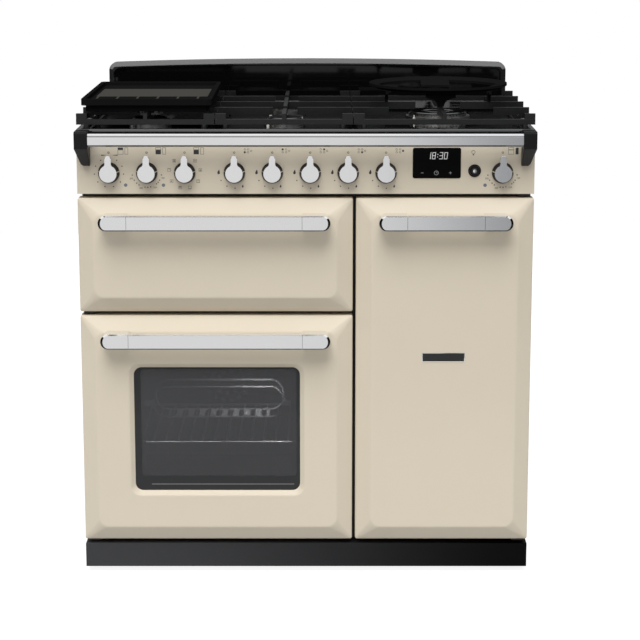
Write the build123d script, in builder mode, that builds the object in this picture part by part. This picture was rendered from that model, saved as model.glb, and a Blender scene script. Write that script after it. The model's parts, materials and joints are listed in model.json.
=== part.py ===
from build123d import *
import os
from math import cos, pi, sin

os.makedirs("parts", exist_ok=True)

# Dual fuel range cooker: gas hob above a grill drawer, a wide oven and a tall oven.
# Millimetres. +X is right, +Y is back, +Z is up. The origin is on the floor, under the
# middle of the overall depth and width.

# Overall sizes
width = 896.0
hob_height = 905.0
body_depth = 588.0
floor_gap = 12.0
plinth_height = 49.0
plinth_gap = 9.5
panel_height = 116.0
panel_gap = 8.2
left_door_width = 540.8
door_side_gap = 5.8
main_door_height = 463.4
door_stack_gap = 7.8
side_inset = 5.0

# Sheet metal and clearances
sheet = 1.5
frame_sheet = 2.0
seam = 0.2
running_gap = 0.05
slide_gap = 0.3
clearance = 0.5

# Doors and their handles
door_bulge = 20.0
door_bevel = 31.0
door_depth = 30.0
door_frame_gap = 10.0
rim_radius = 4.0
bevel_radius = 20.0
liner_wall = 2.0
liner_rim = 18.0
handle_height = 30.0
handle_bar_depth = 14.0
handle_gap = 26.0
handle_post = 55.0
handle_drop = 27.0
handle_margin = 44.5
handle_chamfer = 3.0

# Window of the main oven's door
window_width = 349.0
window_height = 272.0
window_bottom = 97.5
window_recess = 8.0
window_slope = 9.0
window_radius = 20.0
glass_thickness = 4.0
glass_lap = 9.0

# Door hinges
hinge_inset = 12.0
hinge_pin = 4.0
hinge_pin_length = 15.0
hinge_plate = 4.0
hinge_arm = 6.0
hinge_leg = 22.0
hinge_leg_sheet = 3.0
hinge_block = 18.0
hinge_collar = 7.0

# Ovens and grill chamber
oven_margin = 45.0
oven_depth = 430.0
grill_floor_margin = 30.0
grill_roof_margin = 20.0
grill_depth = 400.0
oven_flange = 10.0
seal_margin = 6.0
seal_width = 8.0
fan_radius = 70.0
fan_hub = 14.0
fan_shaft = 4.0
fan_shaft_length = 28.0
fan_depth = 16.0
fan_back_gap = 6.0
fan_blades = 8
fan_cover_size = 228.0
fan_cover_depth = 34.0
fan_cover_hole = 5.0
fan_cover_rings = 3
fan_cover_pitch = 17.0
fan_cover_first = 6
fan_cover_slots = 4
motor_radius = 34.0
motor_length = 46.0
element_ring = 90.0
element_radius = 3.5
element_terminal = 2.5
element_runs = 6
element_inset = 40.0
element_bend_share = 0.45
shelf_rod = 3.0
shelf_wire = 2.0
shelf_pitch = 26.0
ladder_offset = 10.0
ladder_rungs = 5
ladder_post = 5.0
ladder_inset = 40.0
rack_reach = 62.0
rack_width = 262.0
rack_height = 64.0
rack_drop = 124.0
rack_strip = 10.0
rack_corner = 28.0
rack_slots = 9
lamp_radius = 24.0

# Grill drawer
runner_height = 15.0
runner_width = 10.0
channel_sheet = 2.0
grill_pan_height = 42.0
grill_pan_length = 330.0
grill_pan_lip = 8.0

# Base and rear
foot_radius = 20.0
foot_pad = 8.0
foot_stem = 5.0
foot_boss = 12.0
foot_boss_height = 20.0
foot_nut = 9.0
foot_inset = 62.0
base_lift = 18.0
rear_inset = 20.0
rear_flange = 22.0
inlet_radius = 10.48
inlet_length = 20.0
supply_pipe = 8.0
inlet_x = 250.0
terminal_width = 110.0
terminal_height = 80.0
terminal_depth = 17.0
terminal_x = -250.0
terminal_bottom = 120.0
cable_entry = 6.5
tether_spacing = 240.0
tether_hole = 3.2
tether_drop = 73.0
screw_shank = 2.0
screw_head = 4.0
screw_head_height = 2.4
rear_screws = 5
vent_length = 60.0
vent_width = 6.0
vent_pitch = 16.0
vent_rows = 6
plinth_return = 60.0

# Hotplate and splashback
hob_side_lap = 0.5
hob_front_lap = 8.0
hob_lip = 12.0
hob_rim = 12.0
hob_well = 7.0
hob_floor = 2.0
hob_corner = 14.0
hob_edge = 4.0
splash_inset = 9.0
splash_depth = 30.0
splash_height = 92.0
splash_shoulder = 84.0
splash_corner = 18.0
splash_rim = 10.0
splash_recess = 5.0
splash_bevel = 8.0

# Burners
burner_front = 139.0
burner_pitch = 236.0
burner_flange = 42.0
burner_crown = 36.0
burner_cap = 34.0
wok_burner_flange = 66.0
wok_burner_crown = 60.0
wok_burner_bore = 30.0
wok_inner_cap = 22.0
burner_cup = 26.0
burner_cup_depth = 26.0
burner_flange_height = 7.0
burner_crown_height = 5.0
burner_cap_height = 4.0
burner_slots = 24
slot_width = 2.0
igniter_radius = 3.0
igniter_gap = 6.0

# Pan supports, griddle and wok ring
support_left_width = 271.6
support_centre_width = 271.3
support_overhang = 1.0
support_joint = 1.5
support_front = 12.0
support_lift = 6.6
support_bar = 10.0
support_bar_height = 10.4
support_top = 28.0
support_lug = 21.0
finger_width = 8.0
finger_height = 15.0
finger_end = 25.0
wok_finger_end = 46.0
side_finger = 72.0
support_foot = 6.0
griddle_width = 258.0
griddle_length = 390.0
griddle_front = 45.0
griddle_height = 25.7
griddle_rim_height = 13.3
griddle_wall = 9.0
griddle_floor = 5.0
griddle_skirt = 8.0
griddle_ribs = 6
griddle_rib_pitch = 39.6
griddle_rib_length = 14.0
griddle_rib_height = 3.0
wok_ring_radius = 142.0
wok_ring_height = 40.0
wok_ring_mouth = 103.0
wok_ring_sheet = 5.0
wok_ring_dish = 15.0
wok_ring_band = 16.0
wok_leg_top = 60.0
wok_leg_foot = 13.0
wok_leg_sheet = 6.0

# Control panel
knob_height = 42.0
knob_edge = 62.8
knob_pitch = 74.2
knob_group_gap = 97.2
knob_skirt = 21.0
knob_face = 17.3
knob_depth = 22.0
knob_plate = 5.0
knob_lever = 34.0
knob_lever_width = 12.0
knob_stand = 1.0
spindle_radius = 4.0
spindle_reach = 13.0
spindle_hole = 5.5
switch_size = 44.0
switch_depth = 38.0
tap_size = 30.0
tap_depth = 30.0
tap_setback = 18.0
gas_rail_size = 18.0
gas_tube = 4.0
gas_tube_rise = 11.0
timer_width = 94.3
timer_height = 60.0
timer_edge = 144.4
timer_top = 25.1
timer_bezel = 1.5
timer_depth = 28.0
timer_lap = 4.0
button_edge = 117.5
button_height = 45.6
button_radius = 7.8
button_flange = 10.0
button_reach = 6.0
button_travel = 3.0
pocket_wall = 3.0
rail_height = 25.0
rail_depth = 14.0
rail_reach = 48.0
rail_drop = 5.0
rail_chamfer = 4.0
cap_width = 26.0
cap_inset = 1.0
cap_height = 71.0
cap_foot = 12.0

# Levels
plinth_top = floor_gap + plinth_height
door_bottom = plinth_top + plinth_gap
main_door_top = door_bottom + main_door_height
grill_bottom = main_door_top + door_stack_gap
hob_under = hob_height - hob_lip
panel_bottom = hob_under - panel_height
door_top = panel_bottom - panel_gap
side_bottom = floor_gap + base_lift
hob_well_level = hob_height - hob_well
knob_z = panel_bottom + knob_height
tether_height = hob_under - tether_drop

# Depths, from the face of the control panel and the rim of the doors
handle_reach = door_bulge + handle_gap + handle_bar_depth
y_face = (handle_reach - body_depth) / 2
y_rear = y_face + body_depth
y_front = y_face - door_bulge
door_back = y_face + door_depth
frame_y = door_back + door_frame_gap
box_y = frame_y + frame_sheet
oven_back = box_y + oven_depth
grill_back = box_y + grill_depth
flange_y = y_rear - rear_inset
rear_y = flange_y - sheet
rear_panel_y = rear_y - sheet
splash_y = y_rear - splash_depth
hob_front = y_face - hob_front_lap
hinge_y = door_back - hinge_inset

# Widths
half = width / 2
body_half = half - side_inset
inner_half = body_half - sheet
hob_half = half + hob_side_lap
splash_width = width - 2 * splash_inset
main_x = (-half, -half + left_door_width)
tall_x = (main_x[1] + door_side_gap, half)
main_z = (door_bottom, main_door_top)
grill_z = (grill_bottom, door_top)
tall_z = (door_bottom, door_top)
oven_x = (main_x[0] + oven_margin, main_x[1] - oven_margin)
oven_z = (main_z[0] + oven_margin, main_z[1] - oven_margin)
tall_oven_x = (tall_x[0] + oven_margin, tall_x[1] - oven_margin)
tall_oven_z = (tall_z[0] + oven_margin, tall_z[1] - oven_margin)
grill_box_z = (grill_z[0] + grill_floor_margin, grill_z[1] - grill_roof_margin)


def middle(span):
    """Half way along a span."""
    return (span[0] + span[1]) / 2


def length(span):
    """Length of a span."""
    return span[1] - span[0]


def front_plane(y):
    """Plane at depth y that faces forwards, with local x to the right and local y up."""
    return Plane.XZ.offset(-y)


def block(xs, ys, zs, mode=Mode.ADD):
    """Box between the ends of three spans."""
    with Locations((middle(xs), middle(ys), middle(zs))):
        Box(length(xs), length(ys), length(zs), mode=mode)


def slab(ys, xs, zs, radius, mode=Mode.ADD):
    """Plate that faces forwards, with rounded corners."""
    with BuildSketch(front_plane(ys[1])) as outline:
        with Locations((middle(xs), middle(zs))):
            RectangleRounded(length(xs), length(zs), radius)
    extrude(outline.sketch, amount=length(ys), mode=mode)


def rod(start, end, radius, mode=Mode.ADD):
    """Round bar or hole from one point to another."""
    axis = Vector(*end) - Vector(*start)
    with BuildSketch(Plane(origin=start, z_dir=axis)) as section:
        Circle(radius)
    extrude(section.sketch, amount=axis.length, mode=mode)


def grow(span, amount):
    """Span made longer by an amount at each end."""
    return (span[0] - amount, span[1] + amount)


def save(piece, name):
    """Label a finished piece and write it."""
    piece.part.label = name
    export_step(piece.part, f"parts/{name}.step")


# Carcass: sides, base, feet, rear and front frame
rear_screw_z = [
    side_bottom + (hob_under - side_bottom) * (n + 0.5) / rear_screws for n in range(rear_screws)
]
rear_screw_x = inner_half - rear_flange / 2

with BuildPart() as side_panels:
    for side in (-1, 1):
        with BuildSketch(Plane.XY.offset(side_bottom)):
            with BuildLine():
                Polyline(
                    (side * body_half, frame_y),
                    (side * body_half, y_rear),
                    (side * inner_half, y_rear),
                    (side * inner_half, flange_y),
                    (side * (inner_half - rear_flange), flange_y),
                    (side * (inner_half - rear_flange), rear_y),
                    (side * inner_half, rear_y),
                    (side * inner_half, frame_y),
                    close=True,
                )
            make_face()
        extrude(amount=hob_under - side_bottom)
        for z in rear_screw_z:
            rod(
                (side * rear_screw_x, rear_y, z),
                (side * rear_screw_x, flange_y, z),
                screw_shank + seam,
                Mode.SUBTRACT,
            )
save(side_panels, "side_panels")

foot_spots = [
    (side * (body_half - foot_inset), y)
    for side in (-1, 1)
    for y in (box_y + foot_inset, rear_panel_y - foot_inset)
]

with BuildPart() as base_frame:
    block((-inner_half, inner_half), (box_y, rear_panel_y), (side_bottom, side_bottom + frame_sheet))
    for x, y in foot_spots:
        boss_top = side_bottom + foot_boss_height
        rod((x, y, side_bottom), (x, y, boss_top), foot_boss)
        rod((x, y, side_bottom), (x, y, boss_top), foot_stem + seam, Mode.SUBTRACT)
save(base_frame, "base_frame")

with BuildPart() as levelling_feet:
    for x, y in foot_spots:
        rod((x, y, 0), (x, y, foot_pad), foot_radius)
        rod((x, y, foot_pad), (x, y, side_bottom + foot_boss_height + foot_stem), foot_stem)
        with BuildSketch(Plane.XY.offset(side_bottom - foot_pad)):
            with Locations((x, y)):
                RegularPolygon(foot_nut, 6)
        extrude(amount=foot_pad)
save(levelling_feet, "levelling_feet")

with BuildPart() as rear_panel:
    block((-inner_half, inner_half), (rear_panel_y, rear_y), (side_bottom, hob_under))
    rod((inlet_x, rear_panel_y, knob_z), (inlet_x, rear_y, knob_z), inlet_radius + clearance, Mode.SUBTRACT)
    for side in (-1, 1):
        tether_x = side * tether_spacing / 2
        rod(
            (tether_x, rear_panel_y, tether_height),
            (tether_x, rear_y, tether_height),
            tether_hole,
            Mode.SUBTRACT,
        )
        for z in rear_screw_z:
            rod(
                (side * rear_screw_x, rear_panel_y, z),
                (side * rear_screw_x, rear_y, z),
                screw_shank + seam,
                Mode.SUBTRACT,
            )
    with BuildSketch(front_plane(rear_y)):
        with Locations((0, hob_under - 2 * terminal_height)):
            with GridLocations(0, vent_pitch, 1, vent_rows):
                for column in (-1, 0, 1):
                    with Locations((2 * vent_length * column, 0)):
                        SlotOverall(vent_length, vent_width)
    extrude(amount=sheet, mode=Mode.SUBTRACT)
    terminal_xs = (terminal_x - terminal_width / 2, terminal_x + terminal_width / 2)
    terminal_zs = (terminal_bottom, terminal_bottom + terminal_height)
    terminal_ys = (rear_y + seam, rear_y + terminal_depth)
    block(terminal_xs, terminal_ys, terminal_zs)
    block(
        grow(terminal_xs, -liner_wall),
        (terminal_ys[0], terminal_ys[1] - liner_wall),
        (terminal_zs[0] + liner_wall, terminal_zs[1] - liner_wall),
        Mode.SUBTRACT,
    )
    entry_y = middle((terminal_ys[0], terminal_ys[1] - liner_wall))
    entry_top = terminal_bottom + liner_wall
    rod(
        (terminal_x, entry_y, terminal_bottom),
        (terminal_x, entry_y, entry_top),
        cable_entry,
        Mode.SUBTRACT,
    )
save(rear_panel, "rear_panel")

with BuildPart() as screws:
    for side in (-1, 1):
        for z in rear_screw_z:
            x = side * rear_screw_x
            rod((x, rear_panel_y, z), (x, flange_y, z), screw_shank)
            rod((x, flange_y, z), (x, flange_y + screw_head_height, z), screw_head)
save(screws, "screws")

frame_top = panel_bottom + oven_margin / 2
with BuildPart() as front_frame:
    block((-inner_half, inner_half), (frame_y, box_y), (side_bottom, frame_top))
    for xs, zs in ((oven_x, oven_z), (tall_oven_x, tall_oven_z), (oven_x, grill_box_z)):
        block(xs, (frame_y, box_y), zs, Mode.SUBTRACT)
save(front_frame, "front_frame")

with BuildPart() as plinth:
    block((-half, half), (y_face, y_face + sheet), (floor_gap, plinth_top))
    block((-half, half), (y_face, frame_y), (plinth_top - sheet, plinth_top))
    for side in (-1, 1):
        xs = sorted((side * (half - sheet), side * half))
        block(xs, (y_face, y_face + plinth_return), (floor_gap, plinth_top))
save(plinth, "plinth")


# Control panel, knobs, timer, button and rail
knob_names = [
    "grill_knob",
    "main_oven_knob",
    "main_mode_knob",
    "gas_knob_1",
    "gas_knob_2",
    "gas_knob_3",
    "gas_knob_4",
    "gas_knob_5",
    "tall_oven_knob",
]
oven_knob_x = [-half + knob_edge + n * knob_pitch for n in range(3)]
gas_knob_x = [oven_knob_x[2] + knob_group_gap + n * knob_pitch for n in range(5)]
tall_knob_x = half - knob_edge
knob_x = oven_knob_x + gas_knob_x + [tall_knob_x]
timer_xs = (half - timer_edge - timer_width, half - timer_edge)
timer_zs = (hob_under - timer_top - timer_height, hob_under - timer_top)
button_x = half - button_edge
button_z = panel_bottom + button_height
panel_back = y_face + sheet

with BuildPart() as control_panel:
    block((-half, half), (y_face, panel_back), (panel_bottom, hob_under))
    block((-half, half), (y_face, frame_y), (panel_bottom, panel_bottom + sheet))
    block((-half, half), (y_face, y_face + hob_rim), (hob_under - sheet, hob_under))
    for side in (-1, 1):
        xs = sorted((side * (half - sheet), side * half))
        block(xs, (y_face, frame_y), (panel_bottom, hob_under))
    for x in knob_x:
        rod((x, y_face, knob_z), (x, panel_back, knob_z), spindle_hole, Mode.SUBTRACT)
    rod(
        (button_x, y_face, button_z),
        (button_x, panel_back, button_z),
        button_radius + clearance,
        Mode.SUBTRACT,
    )
    block(grow(timer_xs, -timer_lap), (y_face, panel_back), grow(timer_zs, -timer_lap), Mode.SUBTRACT)
save(control_panel, "control_panel")

with BuildPart() as timer_display:
    slab((y_face - timer_bezel, y_face), timer_xs, timer_zs, timer_lap)
    module_xs = grow(timer_xs, -timer_lap - clearance)
    module_zs = grow(timer_zs, -timer_lap - clearance)
    block(module_xs, (y_face, y_face + timer_depth), module_zs)
save(timer_display, "timer_display")


def knob(x):
    """Keyhole-shaped control with a coned skirt and a blind bore for its spindle."""
    skirt_y = y_face - knob_stand
    plate_y = y_face - knob_depth + knob_plate
    with BuildPart() as turned:
        with BuildSketch(front_plane(skirt_y)):
            with Locations((x, knob_z)):
                Circle(knob_skirt)
        with BuildSketch(front_plane(plate_y)):
            with Locations((x, knob_z)):
                Circle(knob_face)
        loft()
        with BuildSketch(front_plane(plate_y)):
            with Locations((x, knob_z)):
                Circle(knob_face)
            tip_z = knob_z + knob_lever - knob_lever_width / 2
            with Locations((x, middle((knob_z, tip_z)))):
                Rectangle(knob_lever_width, tip_z - knob_z)
            with Locations((x, tip_z)):
                Circle(knob_lever_width / 2)
        extrude(amount=knob_plate)
        bore_end = y_face - spindle_reach - clearance
        rod((x, skirt_y, knob_z), (x, bore_end, knob_z), spindle_radius + running_gap, Mode.SUBTRACT)
    return turned


for knob_name, x in zip(knob_names, knob_x):
    save(knob(x), knob_name)

with BuildPart() as oven_switches:
    for x in oven_knob_x + [tall_knob_x]:
        block(
            (x - switch_size / 2, x + switch_size / 2),
            (panel_back, panel_back + switch_depth),
            (knob_z - switch_size / 2, knob_z + switch_size / 2),
        )
        rod((x, panel_back, knob_z), (x, y_face - spindle_reach, knob_z), spindle_radius)
    pocket = button_flange + clearance
    pocket_depth = sheet + button_travel + clearance
    block(
        (button_x - pocket - pocket_wall, button_x + pocket + pocket_wall),
        (panel_back, panel_back + switch_depth / 2),
        (button_z - pocket - pocket_wall, button_z + pocket + pocket_wall),
    )
    rod(
        (button_x, panel_back, button_z),
        (button_x, panel_back + slide_gap + pocket_depth, button_z),
        pocket,
        Mode.SUBTRACT,
    )
save(oven_switches, "oven_switches")

with BuildPart() as light_button:
    flange_front = panel_back + slide_gap
    rod(
        (button_x, flange_front + sheet, button_z),
        (button_x, y_face - button_reach, button_z),
        button_radius,
    )
    dome_edges = light_button.faces().sort_by(Axis.Y)[0].edges()
    fillet(dome_edges, button_radius / 3)
    rod((button_x, flange_front, button_z), (button_x, flange_front + sheet, button_z), button_flange)
save(light_button, "light_button")

rail_top = hob_height - rail_drop
cap_xs = (half - cap_inset - cap_width, half - cap_inset)
rail_ys = (y_face - rail_reach, y_face - rail_reach + rail_depth)
rail_zs = (rail_top - rail_height, rail_top)

with BuildPart() as front_rail:
    with BuildSketch(Plane.YZ.offset(-cap_xs[0])):
        with Locations((middle(rail_ys), middle(rail_zs))):
            Rectangle(rail_depth, rail_height)
        chamfer(vertices().group_by(Axis.X)[0], rail_chamfer)
    extrude(amount=2 * cap_xs[0])
save(front_rail, "front_rail")

with BuildPart() as rail_end_caps:
    cap_top = rail_top + rail_depth - rail_chamfer - rail_drop - clearance
    cap_bottom = cap_top - cap_height
    cap_knee = rail_zs[0] - rail_chamfer
    cap_nose = rail_ys[0] - 2 * sheet
    with BuildSketch(Plane.YZ.offset(cap_xs[0])):
        with BuildLine():
            Polyline(
                (y_face, cap_bottom),
                (y_face - cap_foot, cap_bottom),
                (cap_nose + rail_chamfer, cap_knee - rail_chamfer),
                (cap_nose, cap_knee),
                (cap_nose, cap_top - rail_chamfer),
                (cap_nose + rail_chamfer, cap_top),
                (hob_front - seam, cap_top),
                (hob_front - seam, hob_under - seam),
                (y_face, hob_under - seam),
                close=True,
            )
        make_face()
    extrude(amount=cap_width)
    with BuildSketch(front_plane(y_face)):
        with BuildLine():
            Polyline(
                (cap_xs[0], cap_top),
                (cap_xs[1], cap_top),
                (cap_xs[1], cap_knee),
                (cap_xs[1] - cap_width / 3, cap_bottom + cap_foot / 3),
                (cap_xs[1] - cap_width / 2, cap_bottom),
                (cap_xs[0], cap_bottom),
                close=True,
            )
        make_face()
    extrude(amount=rail_reach + rail_depth, mode=Mode.INTERSECT)
    mirror(about=Plane.YZ)
save(rail_end_caps, "rail_end_caps")


# Hotplate, splashback and burners
support_edges = [
    -hob_half - support_overhang,
    -hob_half - support_overhang + support_left_width,
    -hob_half - support_overhang + support_left_width + support_centre_width,
    hob_half + support_overhang,
]
burner_columns = [middle(support_edges[n:n + 2]) for n in range(3)]
burner_rows = [y_face + burner_front, y_face + burner_front + burner_pitch]
burner_spots = [(x, y) for x in burner_columns[:2] for y in burner_rows]
wok_spot = (burner_columns[2], middle(burner_rows))
all_burners = [(spot, burner_flange) for spot in burner_spots] + [(wok_spot, wok_burner_flange)]


def igniter_spots():
    """Places of the spark electrode and flame probe beside each burner."""
    spots = []
    for (x, y), flange in all_burners:
        reach = (flange + igniter_gap) * sin(pi / 4)
        spots += [(x + reach, y + reach), (x - reach, y - reach)]
    return spots


with BuildPart() as hotplate:
    with BuildSketch(Plane.XY.offset(hob_under)):
        with Locations((0, middle((hob_front, splash_y)))):
            RectangleRounded(2 * hob_half, splash_y - hob_front, hob_corner)
    extrude(amount=hob_lip)
    fillet(hotplate.faces().sort_by(Axis.Z)[-1].edges(), hob_edge)
    well_ys = (hob_front + hob_rim, splash_y - hob_rim)
    with BuildSketch(Plane.XY.offset(hob_well_level)):
        with Locations((0, middle(well_ys))):
            RectangleRounded(2 * (hob_half - hob_rim), length(well_ys), hob_corner)
    extrude(amount=hob_well, mode=Mode.SUBTRACT)
    block(
        grow((-hob_half, hob_half), -hob_rim),
        well_ys,
        (hob_under, hob_well_level - hob_floor),
        Mode.SUBTRACT,
    )
    for (x, y), flange in all_burners:
        rod((x, y, hob_under), (x, y, hob_height), burner_cup + clearance, Mode.SUBTRACT)
    for x, y in igniter_spots():
        rod((x, y, hob_under), (x, y, hob_height), igniter_radius + seam, Mode.SUBTRACT)
save(hotplate, "hotplate")

with BuildPart() as splashback:
    splash_half = splash_width / 2
    shoulder_z = hob_height + splash_shoulder
    apex_z = hob_height + splash_height
    with BuildSketch(front_plane(y_rear)):
        with BuildLine():
            Line((-splash_half, hob_under), (splash_half, hob_under))
            Line((splash_half, hob_under), (splash_half, shoulder_z))
            ThreePointArc((splash_half, shoulder_z), (0, apex_z), (-splash_half, shoulder_z))
            Line((-splash_half, shoulder_z), (-splash_half, hob_under))
        make_face()
        fillet(vertices().group_by(Axis.Y)[-1], splash_corner)
    extrude(amount=splash_depth)
    rim_edges = splashback.faces().sort_by(Axis.Y)[0].edges()
    chamfer([edge for edge in rim_edges if edge.center().Z > hob_height], splash_bevel)
    recess_half = splash_half - splash_bevel - splash_rim / 2
    recess_drop = splash_bevel + splash_rim / 2
    with BuildSketch(front_plane(splash_y + splash_recess)):
        with BuildLine():
            Line((-recess_half, hob_height), (recess_half, hob_height))
            Line((recess_half, hob_height), (recess_half, shoulder_z - recess_drop))
            ThreePointArc(
                (recess_half, shoulder_z - recess_drop),
                (0, apex_z - recess_drop),
                (-recess_half, shoulder_z - recess_drop),
            )
            Line((-recess_half, shoulder_z - recess_drop), (-recess_half, hob_height))
        make_face()
        fillet(vertices().group_by(Axis.Y)[-1], splash_corner - splash_bevel)
    extrude(amount=splash_recess, mode=Mode.SUBTRACT)
save(splashback, "splashback")

flange_top = hob_well_level + burner_flange_height
crown_top = flange_top + burner_crown_height
cap_level = crown_top + burner_cap_height
cup_bottom = hob_well_level - hob_floor - burner_cup_depth

with BuildPart() as burner_bodies:
    for (x, y), flange in all_burners:
        crown = flange - (burner_flange - burner_crown)
        rod((x, y, cup_bottom), (x, y, hob_well_level), burner_cup)
        rod((x, y, hob_well_level), (x, y, flange_top), flange)
        rod((x, y, flange_top), (x, y, crown_top), crown)
        slots = burner_slots if flange == burner_flange else 2 * burner_slots
        with BuildSketch(Plane.XY.offset(crown_top)):
            with Locations((x, y)):
                with PolarLocations(crown, slots):
                    Rectangle(2 * burner_crown_height, slot_width)
        extrude(amount=-burner_crown_height / 2, mode=Mode.SUBTRACT)
    rod((*wok_spot, flange_top), (*wok_spot, crown_top), wok_burner_bore + slot_width, Mode.SUBTRACT)
    rod((*wok_spot, flange_top), (*wok_spot, crown_top), wok_inner_cap)
save(burner_bodies, "burner_bodies")

with BuildPart() as burner_caps:
    for x, y in burner_spots:
        rod((x, y, crown_top), (x, y, cap_level), burner_cap)
    rod((*wok_spot, crown_top), (*wok_spot, cap_level), wok_burner_crown - slot_width)
    rod((*wok_spot, crown_top), (*wok_spot, cap_level), wok_burner_bore + slot_width, Mode.SUBTRACT)
    rod((*wok_spot, crown_top), (*wok_spot, cap_level), wok_inner_cap + slot_width)
    rims = burner_caps.faces().filter_by(Plane.XY).group_by(Axis.Z)[-1].edges()
    chamfer(rims, burner_cap_height / 3)
save(burner_caps, "burner_caps")

with BuildPart() as igniters:
    for x, y in igniter_spots():
        rod((x, y, cup_bottom), (x, y, flange_top), igniter_radius)
        rod((x, y, flange_top), (x, y, crown_top), igniter_radius / 2)
save(igniters, "igniters")

tap_front = panel_back + tap_setback
tap_ys = (tap_front, tap_front + tap_depth)
rail_pipe_ys = (tap_ys[1] + seam, tap_ys[1] + seam + gas_rail_size)
tube_targets = burner_spots + [wok_spot]

with BuildPart() as gas_rail:
    pipe_y = middle(rail_pipe_ys)
    block(
        (gas_knob_x[0] - tap_size, inlet_x + gas_rail_size / 2),
        rail_pipe_ys,
        (knob_z - gas_rail_size / 2, knob_z + gas_rail_size / 2),
    )
    rod((inlet_x, rail_pipe_ys[1], knob_z), (inlet_x, rear_y, knob_z), supply_pipe)
    rod((inlet_x, rear_y, knob_z), (inlet_x, rear_y + inlet_length, knob_z), inlet_radius)
    for x in gas_knob_x:
        block(
            (x - tap_size / 2, x + tap_size / 2),
            tap_ys,
            (knob_z - tap_size / 2, knob_z + tap_size / 2),
        )
        rod((x, tap_front, knob_z), (x, y_face - spindle_reach, knob_z), spindle_radius)
    for n, (x, target) in enumerate(zip(gas_knob_x, tube_targets)):
        tube_z = cup_bottom - gas_tube_rise * (2 - n % 2)
        start = (x, middle(tap_ys), knob_z + tap_size / 2 + seam)
        end_x = target[0] + (burner_cup / 2) * (1 if n % 2 else -1)
        with BuildLine() as tube_path:
            FilletPolyline(
                start,
                (x, middle(tap_ys), tube_z),
                (end_x, middle(tap_ys), tube_z),
                (end_x, target[1], tube_z),
                (end_x, target[1], cup_bottom - seam),
                radius=gas_tube + clearance,
            )
        with BuildSketch(Plane(origin=start, z_dir=(0, 0, 1))):
            Circle(gas_tube)
        sweep(path=tube_path.line)
save(gas_rail, "gas_rail")


# Ovens and grill chamber
def oven_box(xs, zs, back):
    """Open-fronted enamelled liner with a flange on the front frame."""
    block(grow(xs, sheet), (box_y, back + sheet), grow(zs, sheet))
    block(grow(xs, sheet + oven_flange), (box_y, box_y + sheet), grow(zs, sheet + oven_flange))
    block(xs, (box_y, back), zs, Mode.SUBTRACT)


fan_centres = {
    "main": (middle(oven_x), middle(oven_z)),
    "tall": (middle(tall_oven_x), middle(tall_oven_z)),
}
lamp_spot = (oven_x[0] + 2 * lamp_radius + ladder_offset, oven_z[1] - 2 * lamp_radius)


def cut_fan_holes(centre):
    """Holes in the back of an oven for the fan's shaft."""
    x, z = centre
    rod((x, oven_back, z), (x, oven_back + sheet, z), 2 * fan_shaft, Mode.SUBTRACT)


with BuildPart() as main_oven_liner:
    oven_box(oven_x, oven_z, oven_back)
    cut_fan_holes(fan_centres["main"])
    rod(
        (lamp_spot[0], oven_back, lamp_spot[1]),
        (lamp_spot[0], oven_back + sheet, lamp_spot[1]),
        lamp_radius / 2 + clearance,
        Mode.SUBTRACT,
    )
save(main_oven_liner, "main_oven_liner")

with BuildPart() as tall_oven_liner:
    oven_box(tall_oven_x, tall_oven_z, oven_back)
    cut_fan_holes(fan_centres["tall"])
save(tall_oven_liner, "tall_oven_liner")

with BuildPart() as grill_chamber:
    oven_box(oven_x, grill_box_z, grill_back)
save(grill_chamber, "grill_chamber")

with BuildPart() as fan_motors:
    for x, z in fan_centres.values():
        motor_y = oven_back + sheet
        rod((x, motor_y, z), (x, motor_y + motor_length, z), motor_radius)
        rod((x, motor_y, z), (x, oven_back - fan_shaft_length, z), fan_shaft)
save(fan_motors, "fan_motors")

fan_ys = (oven_back - fan_back_gap - fan_depth, oven_back - fan_back_gap)


def fan(centre):
    """Centrifugal impeller: hub, back plate and straight blades."""
    x, z = centre
    with BuildPart() as impeller:
        rod((x, fan_ys[1] - sheet, z), (x, fan_ys[1], z), fan_radius)
        rod((x, fan_ys[0], z), (x, fan_ys[1], z), fan_hub)
        with BuildSketch(front_plane(fan_ys[1])):
            with Locations((x, z)):
                with PolarLocations((fan_radius + fan_hub) / 2, fan_blades):
                    Rectangle(fan_radius - fan_hub + sheet, sheet)
        extrude(amount=fan_depth)
        rod((x, fan_ys[0], z), (x, fan_ys[1], z), fan_shaft + running_gap, Mode.SUBTRACT)
    return impeller


save(fan(fan_centres["main"]), "main_fan")
save(fan(fan_centres["tall"]), "tall_fan")

with BuildPart() as fan_elements:
    for x, z in fan_centres.values():
        ring_y = middle(fan_ys)
        with Locations(front_plane(ring_y) * Location((x, z, 0))):
            Torus(element_ring, element_radius)
        terminal_xs = (x - 2 * element_radius, x + 2 * element_radius)
        terminal_mid = z + element_ring
        terminal_zs = (terminal_mid - element_terminal, terminal_mid + element_terminal)
        block(terminal_xs, (ring_y, oven_back), terminal_zs)
save(fan_elements, "fan_elements")

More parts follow.
